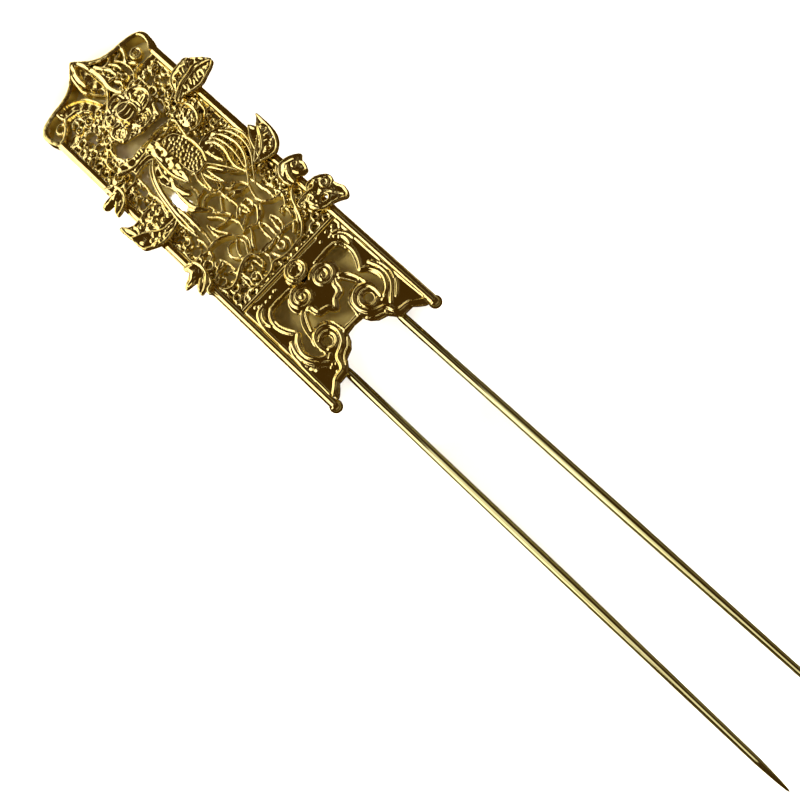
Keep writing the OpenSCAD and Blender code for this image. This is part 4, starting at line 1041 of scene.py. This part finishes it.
ornament(
    "rosette", 43, z=3.0,
    body=[disc((6.5, 55.5), 1.75, 2.3)],
    swells=[(disc((6.5, 55.5), 1.6, 2.1), 0.25, 1.0)],
    fields=[(disc((6.4, 55.6), 1.4, 1.9), 0.95, 0.3)],
    strokes=marks("""
        0.5 0.55: 7.8,58.2 8.2,56.8 8.1,55.2 7.5,53.8 6.4,53;
        0.5 0.5: 5,53.2 6.2,52.6 7.6,53 8.4,54"""),
    rings=marks("""
        0.5 0.35 0.4: 6.4,55.8; 0.4 0.3 0.4: 6,57; 0.45 0.3 0.4: 6.2,54.4"""))
ornament(
    "boss", 44, top=2.8, z=3.0,
    body=[disc((0, 19), 2.1)],
    rings=marks("1.75 0.5 0.55: 0,19; 1.25 0.35 0.5: 0,19"),
    strokes=marks("""
        0.6 0.5: -2.2,18.9 -2.1,18 -1.5,17.3 -0.7,16.9;
        0.4 0.5: 1.7,18.4 1.2,17.4;
        0.3 0.35: -0.6,19.5 0,19.7 0.6,19.5;
        0.35 0.45: 0.8,18.9 0.7,18.2"""))

# The prongs, drawn wire with hammered roots. Stations: place along the prong, radius
STATIONS = np.array(pts("8.4,0.5 1.2,0.52 0.2,0.7 -1,0.75 -22,0.75 -45.65,0.745 -62,0.63 -78,0.51 -81.4,0.32 "
                        "-82.6,0.19 -82.95,0.08"))
for side, word in ((-1, "left"), (1, "right")):
    along, radii = STATIONS.T
    spans = [np.linspace(a, b, 6, endpoint=False) for a, b in zip(along, along[1:])]
    y = np.concatenate(spans + [along[-1:]])
    line = np.stack([np.full(len(y), side * PRONG_X), y, np.full(len(y), PRONG_Z)], 1)
    dress(tube("prong_wire_" + word, line, np.interp(-y, -along, radii)), "prong_" + word, WIRE)


# Floor, light and camera

def plain(name, colour, rough):
    """A matt paint or paper."""
    mat = bpy.data.materials.new(name)
    mat.use_nodes = True
    shader = mat.node_tree.nodes["Principled BSDF"]
    shader.inputs["Base Color"].default_value = (*colour, 1)
    shader.inputs["Roughness"].default_value = rough
    return mat


def staged(name, verts, polys, mat):
    """A mesh of the stage, from places in metres in the frame."""
    mesh = bpy.data.meshes.new(name)
    mesh.from_pydata(verts, [], polys)
    obj = bpy.data.objects.new(name, mesh)
    obj.data.materials.append(mat)
    bpy.context.scene.collection.objects.link(obj)
    return obj


def card(name, corners, z, mat):
    """A flat sheet at height z, from corners in millimetres."""
    verts = [(x * MM, (y - BAR_Y) * MM, z * MM) for x, y in corners]
    return staged(name, verts, [list(range(len(corners)))], mat)


PALE = (0.93, 0.93, 0.92)
FLOOR_Z, SHEET_Z = -0.02, -0.01
floor = card("floor", pts("-1500,-1500 1500,-1500 1500,1500 -1500,1500"), FLOOR_Z,
             plain("pale_floor", PALE, 0.7))
# The head mirrors the dim surroundings rather than the white paper; the prongs mirror a greyer sheet
floor.visible_glossy = False
sheet = card("prong_paper", pts("-40,-104 40,-104 40,-7 -40,-7"), SHEET_Z,
             plain("grey_paper", (0.33, 0.34, 0.3), 0.7))
sheet.visible_camera = sheet.visible_diffuse = sheet.visible_shadow = False
# The floor inside the frame is a sheet of its own, which the low lights leave dim and the walls mirror
inner = [[-RAIL_X1, 5.3], [RAIL_X1, 5.3]] + RIM_LINE + [[-x, y] for x, y in RIM_LINE[::-1]]
card("inner_floor", inner, SHEET_Z, floor.data.materials[0])

# A pale wall far behind, seen only where the camera looks over the floor's edge
WALL_R, WALL_H, WALL_SIDES = 850, 1600, 64
angles = [2 * math.pi * k / WALL_SIDES for k in range(WALL_SIDES)]
ring = [(WALL_R * math.sin(a) * MM, WALL_R * math.cos(a) * MM) for a in angles]
wall_mat = plain("pale_wall", PALE, 0.9)
glow = wall_mat.node_tree.nodes["Principled BSDF"].inputs
glow["Emission Color"].default_value = (1, 1, 0.99, 1)
glow["Emission Strength"].default_value = 1.0
wall = staged("backdrop", [(x, y, z * MM) for z in (FLOOR_Z, WALL_H) for x, y in ring],
              [(k, (k + 1) % WALL_SIDES, WALL_SIDES + (k + 1) % WALL_SIDES, WALL_SIDES + k)
               for k in range(WALL_SIDES)], wall_mat)
wall.visible_glossy = wall.visible_diffuse = wall.visible_shadow = False


def softbox(name, place, size, power, colour=(1, 1, 1), aim=(0, 0, 0)):
    """A rectangular soft light at place, turned to aim."""
    data = bpy.data.lights.new(name, "AREA")
    data.shape = "RECTANGLE"
    data.size, data.size_y = size
    data.energy = power
    data.color = colour
    obj = bpy.data.objects.new(name, data)
    obj.location = place
    obj.rotation_euler = (Vector(aim) - Vector(place)).to_track_quat("-Z", "Y").to_euler()
    bpy.context.scene.collection.objects.link(obj)
    return obj


# The bright box, the small one beyond the head and the strip overhead show in the metal only. So do two
# weak boxes on the sides away from them, for the metal seen from behind and from the left.
WARM, DULL = (1, 0.94, 0.8), (1, 0.9, 0.66)
# Name, place and size in metres, power in watts, colour
for name, place, size, power, colour in (
        ("key_box", (-0.46, 0.40, 0.33), (0.95, 0.62), 3.55, WARM),
        ("far_box", (0.06, 0.62, 0.3), (0.36, 0.24), 0.38, WARM),
        ("ceiling_strip", (0.25, 0.27, 0.6), (0.08, 0.5), 0.03, (1, 1, 1)),
        ("near_box", (0, -0.62, 0.3), (0.9, 0.3), 0.14, DULL),
        ("right_box", (0.66, -0.1, 0.26), (0.8, 0.26), 0.1, DULL)):
    softbox(name, place, size, power, colour).visible_diffuse = False
# A dimmer, yellower one lights the floor from the bright box's side
softbox("floor_key", (-0.46, 0.40, 0.5), (0.4, 0.4), 2.9, (1, 0.76, 0.22)).visible_glossy = False
# A small one close above the prongs lights nothing else
box = softbox("prong_box", (-0.021, -0.06, 0.06), (0.048, 0.088), 0.0125, (1, 0.96, 0.86), (-0.021, -0.06, 0))
box.visible_diffuse = box.visible_camera = False
lit = bpy.data.collections.new("prong_light")
for word in ("left", "right"):
    lit.objects.link(bpy.data.objects["prong_wire_" + word])
box.light_linking.receiver_collection = lit
# Low soft light for the outer floor alone, so that the fork casts hardly a shadow there
outside = bpy.data.collections.new("outer_floor")
outside.objects.link(floor)
for word, place, power in (("left_far", (-0.65, 0.37, 0.09), 26), ("left_near", (-0.65, -0.37, 0.09), 26),
                           ("right_far", (0.65, 0.37, 0.09), 26), ("right_near", (0.65, -0.37, 0.09), 26),
                           ("near", (0, -0.75, 0.1), 60)):
    fill = softbox("fill_" + word, place, (0.8, 0.045), power, (1, 0.93, 0.82))
    fill.visible_glossy = False
    fill.light_linking.receiver_collection = outside


def sight_spot(name, target, distance, angle, power, colour, radius):
    """A narrow light shone along the sight line at a place on the floor, so that no shadow of it is seen.

    It stands at the camera, or at distance from the place, along the camera's own axis.
    """
    data = bpy.data.lights.new(name, "SPOT")
    data.energy = power
    data.color = colour
    data.spot_size = math.radians(angle)
    data.spot_blend = 0.2
    data.shadow_soft_size = radius
    obj = bpy.data.objects.new(name, data)
    place = Vector((target[0], target[1] - BAR_Y, 0))
    to_eye = Vector(EYE) - Vector((0, BAR_Y, 0)) - place
    aim = BACK if distance else to_eye.normalized()
    obj.location = (place + aim * (distance or to_eye.length)) * MM
    obj.rotation_euler = aim.to_track_quat("Z", "Y").to_euler()
    obj.visible_glossy = False
    bpy.context.scene.collection.objects.link(obj)


# A faint warm glow shows through all the openings
sight_spot("opening_glow", (0, 44), None, 40, 0.05, (1, 0.62, 0.13), 0.001)
# White paper shows in the long gap beside the tail and dimmer in the wide opening, and the head's corners are
# warm. The bridge spot keeps the floor below the plate as white as the rest.
# Name, place, angle in degrees, power in watts, colour, radius in metres
SPOT_DISTANCE = 100
for name, place, angle, power, colour, radius in (
        ("gap_spot", (-5.15, 44.2), 2.3, 0.8, (1, 1, 1), 0.0005),
        ("wide_opening_spot", (-5.2, 60.7), 3.4, 0.8, (1, 0.84, 0.7), 0.012),
        ("bridge_spot", (0, -8.4), 13, 0.09, (0.55, 0.75, 1), 0.0005),
        ("corner_glow", (-12, 75.6), 4.2, 0.045, (1, 0.7, 0.24), 0.01),
        ("corner_glow", (11.4, 75.4), 4.2, 0.045, (1, 0.7, 0.24), 0.01)):
    sight_spot(name, seen([place], 0)[0], SPOT_DISTANCE, angle, power, colour, radius)

view = bpy.context.scene.view_settings
view.view_transform = "Standard"
view.look = "None"

world = bpy.data.worlds.new("studio")
bpy.context.scene.world = world
world.use_nodes = True
world.node_tree.nodes["Background"].inputs["Color"].default_value = (1, 0.5, 0.08, 1)
world.node_tree.nodes["Background"].inputs["Strength"].default_value = 0.047

# The camera's right and up, first level and then rolled
right0 = Vector((math.cos(AZ), math.sin(AZ), 0))
up0 = BACK.cross(right0)
right = right0 * math.cos(ROLL) + up0 * math.sin(ROLL)
up = up0 * math.cos(ROLL) - right0 * math.sin(ROLL)
cam_data = bpy.data.cameras.new("camera")
cam_data.lens = LENS
cam_data.sensor_width = 36
cam_data.clip_start = 0.01
camera = bpy.data.objects.new("camera", cam_data)
turn = Matrix((right, up, BACK)).transposed().to_4x4()
camera.matrix_world = Matrix.Translation((TARGET + BACK * DISTANCE - Vector((0, BAR_Y, 0))) * MM) @ turn
bpy.context.scene.collection.objects.link(camera)
bpy.context.scene.camera = camera
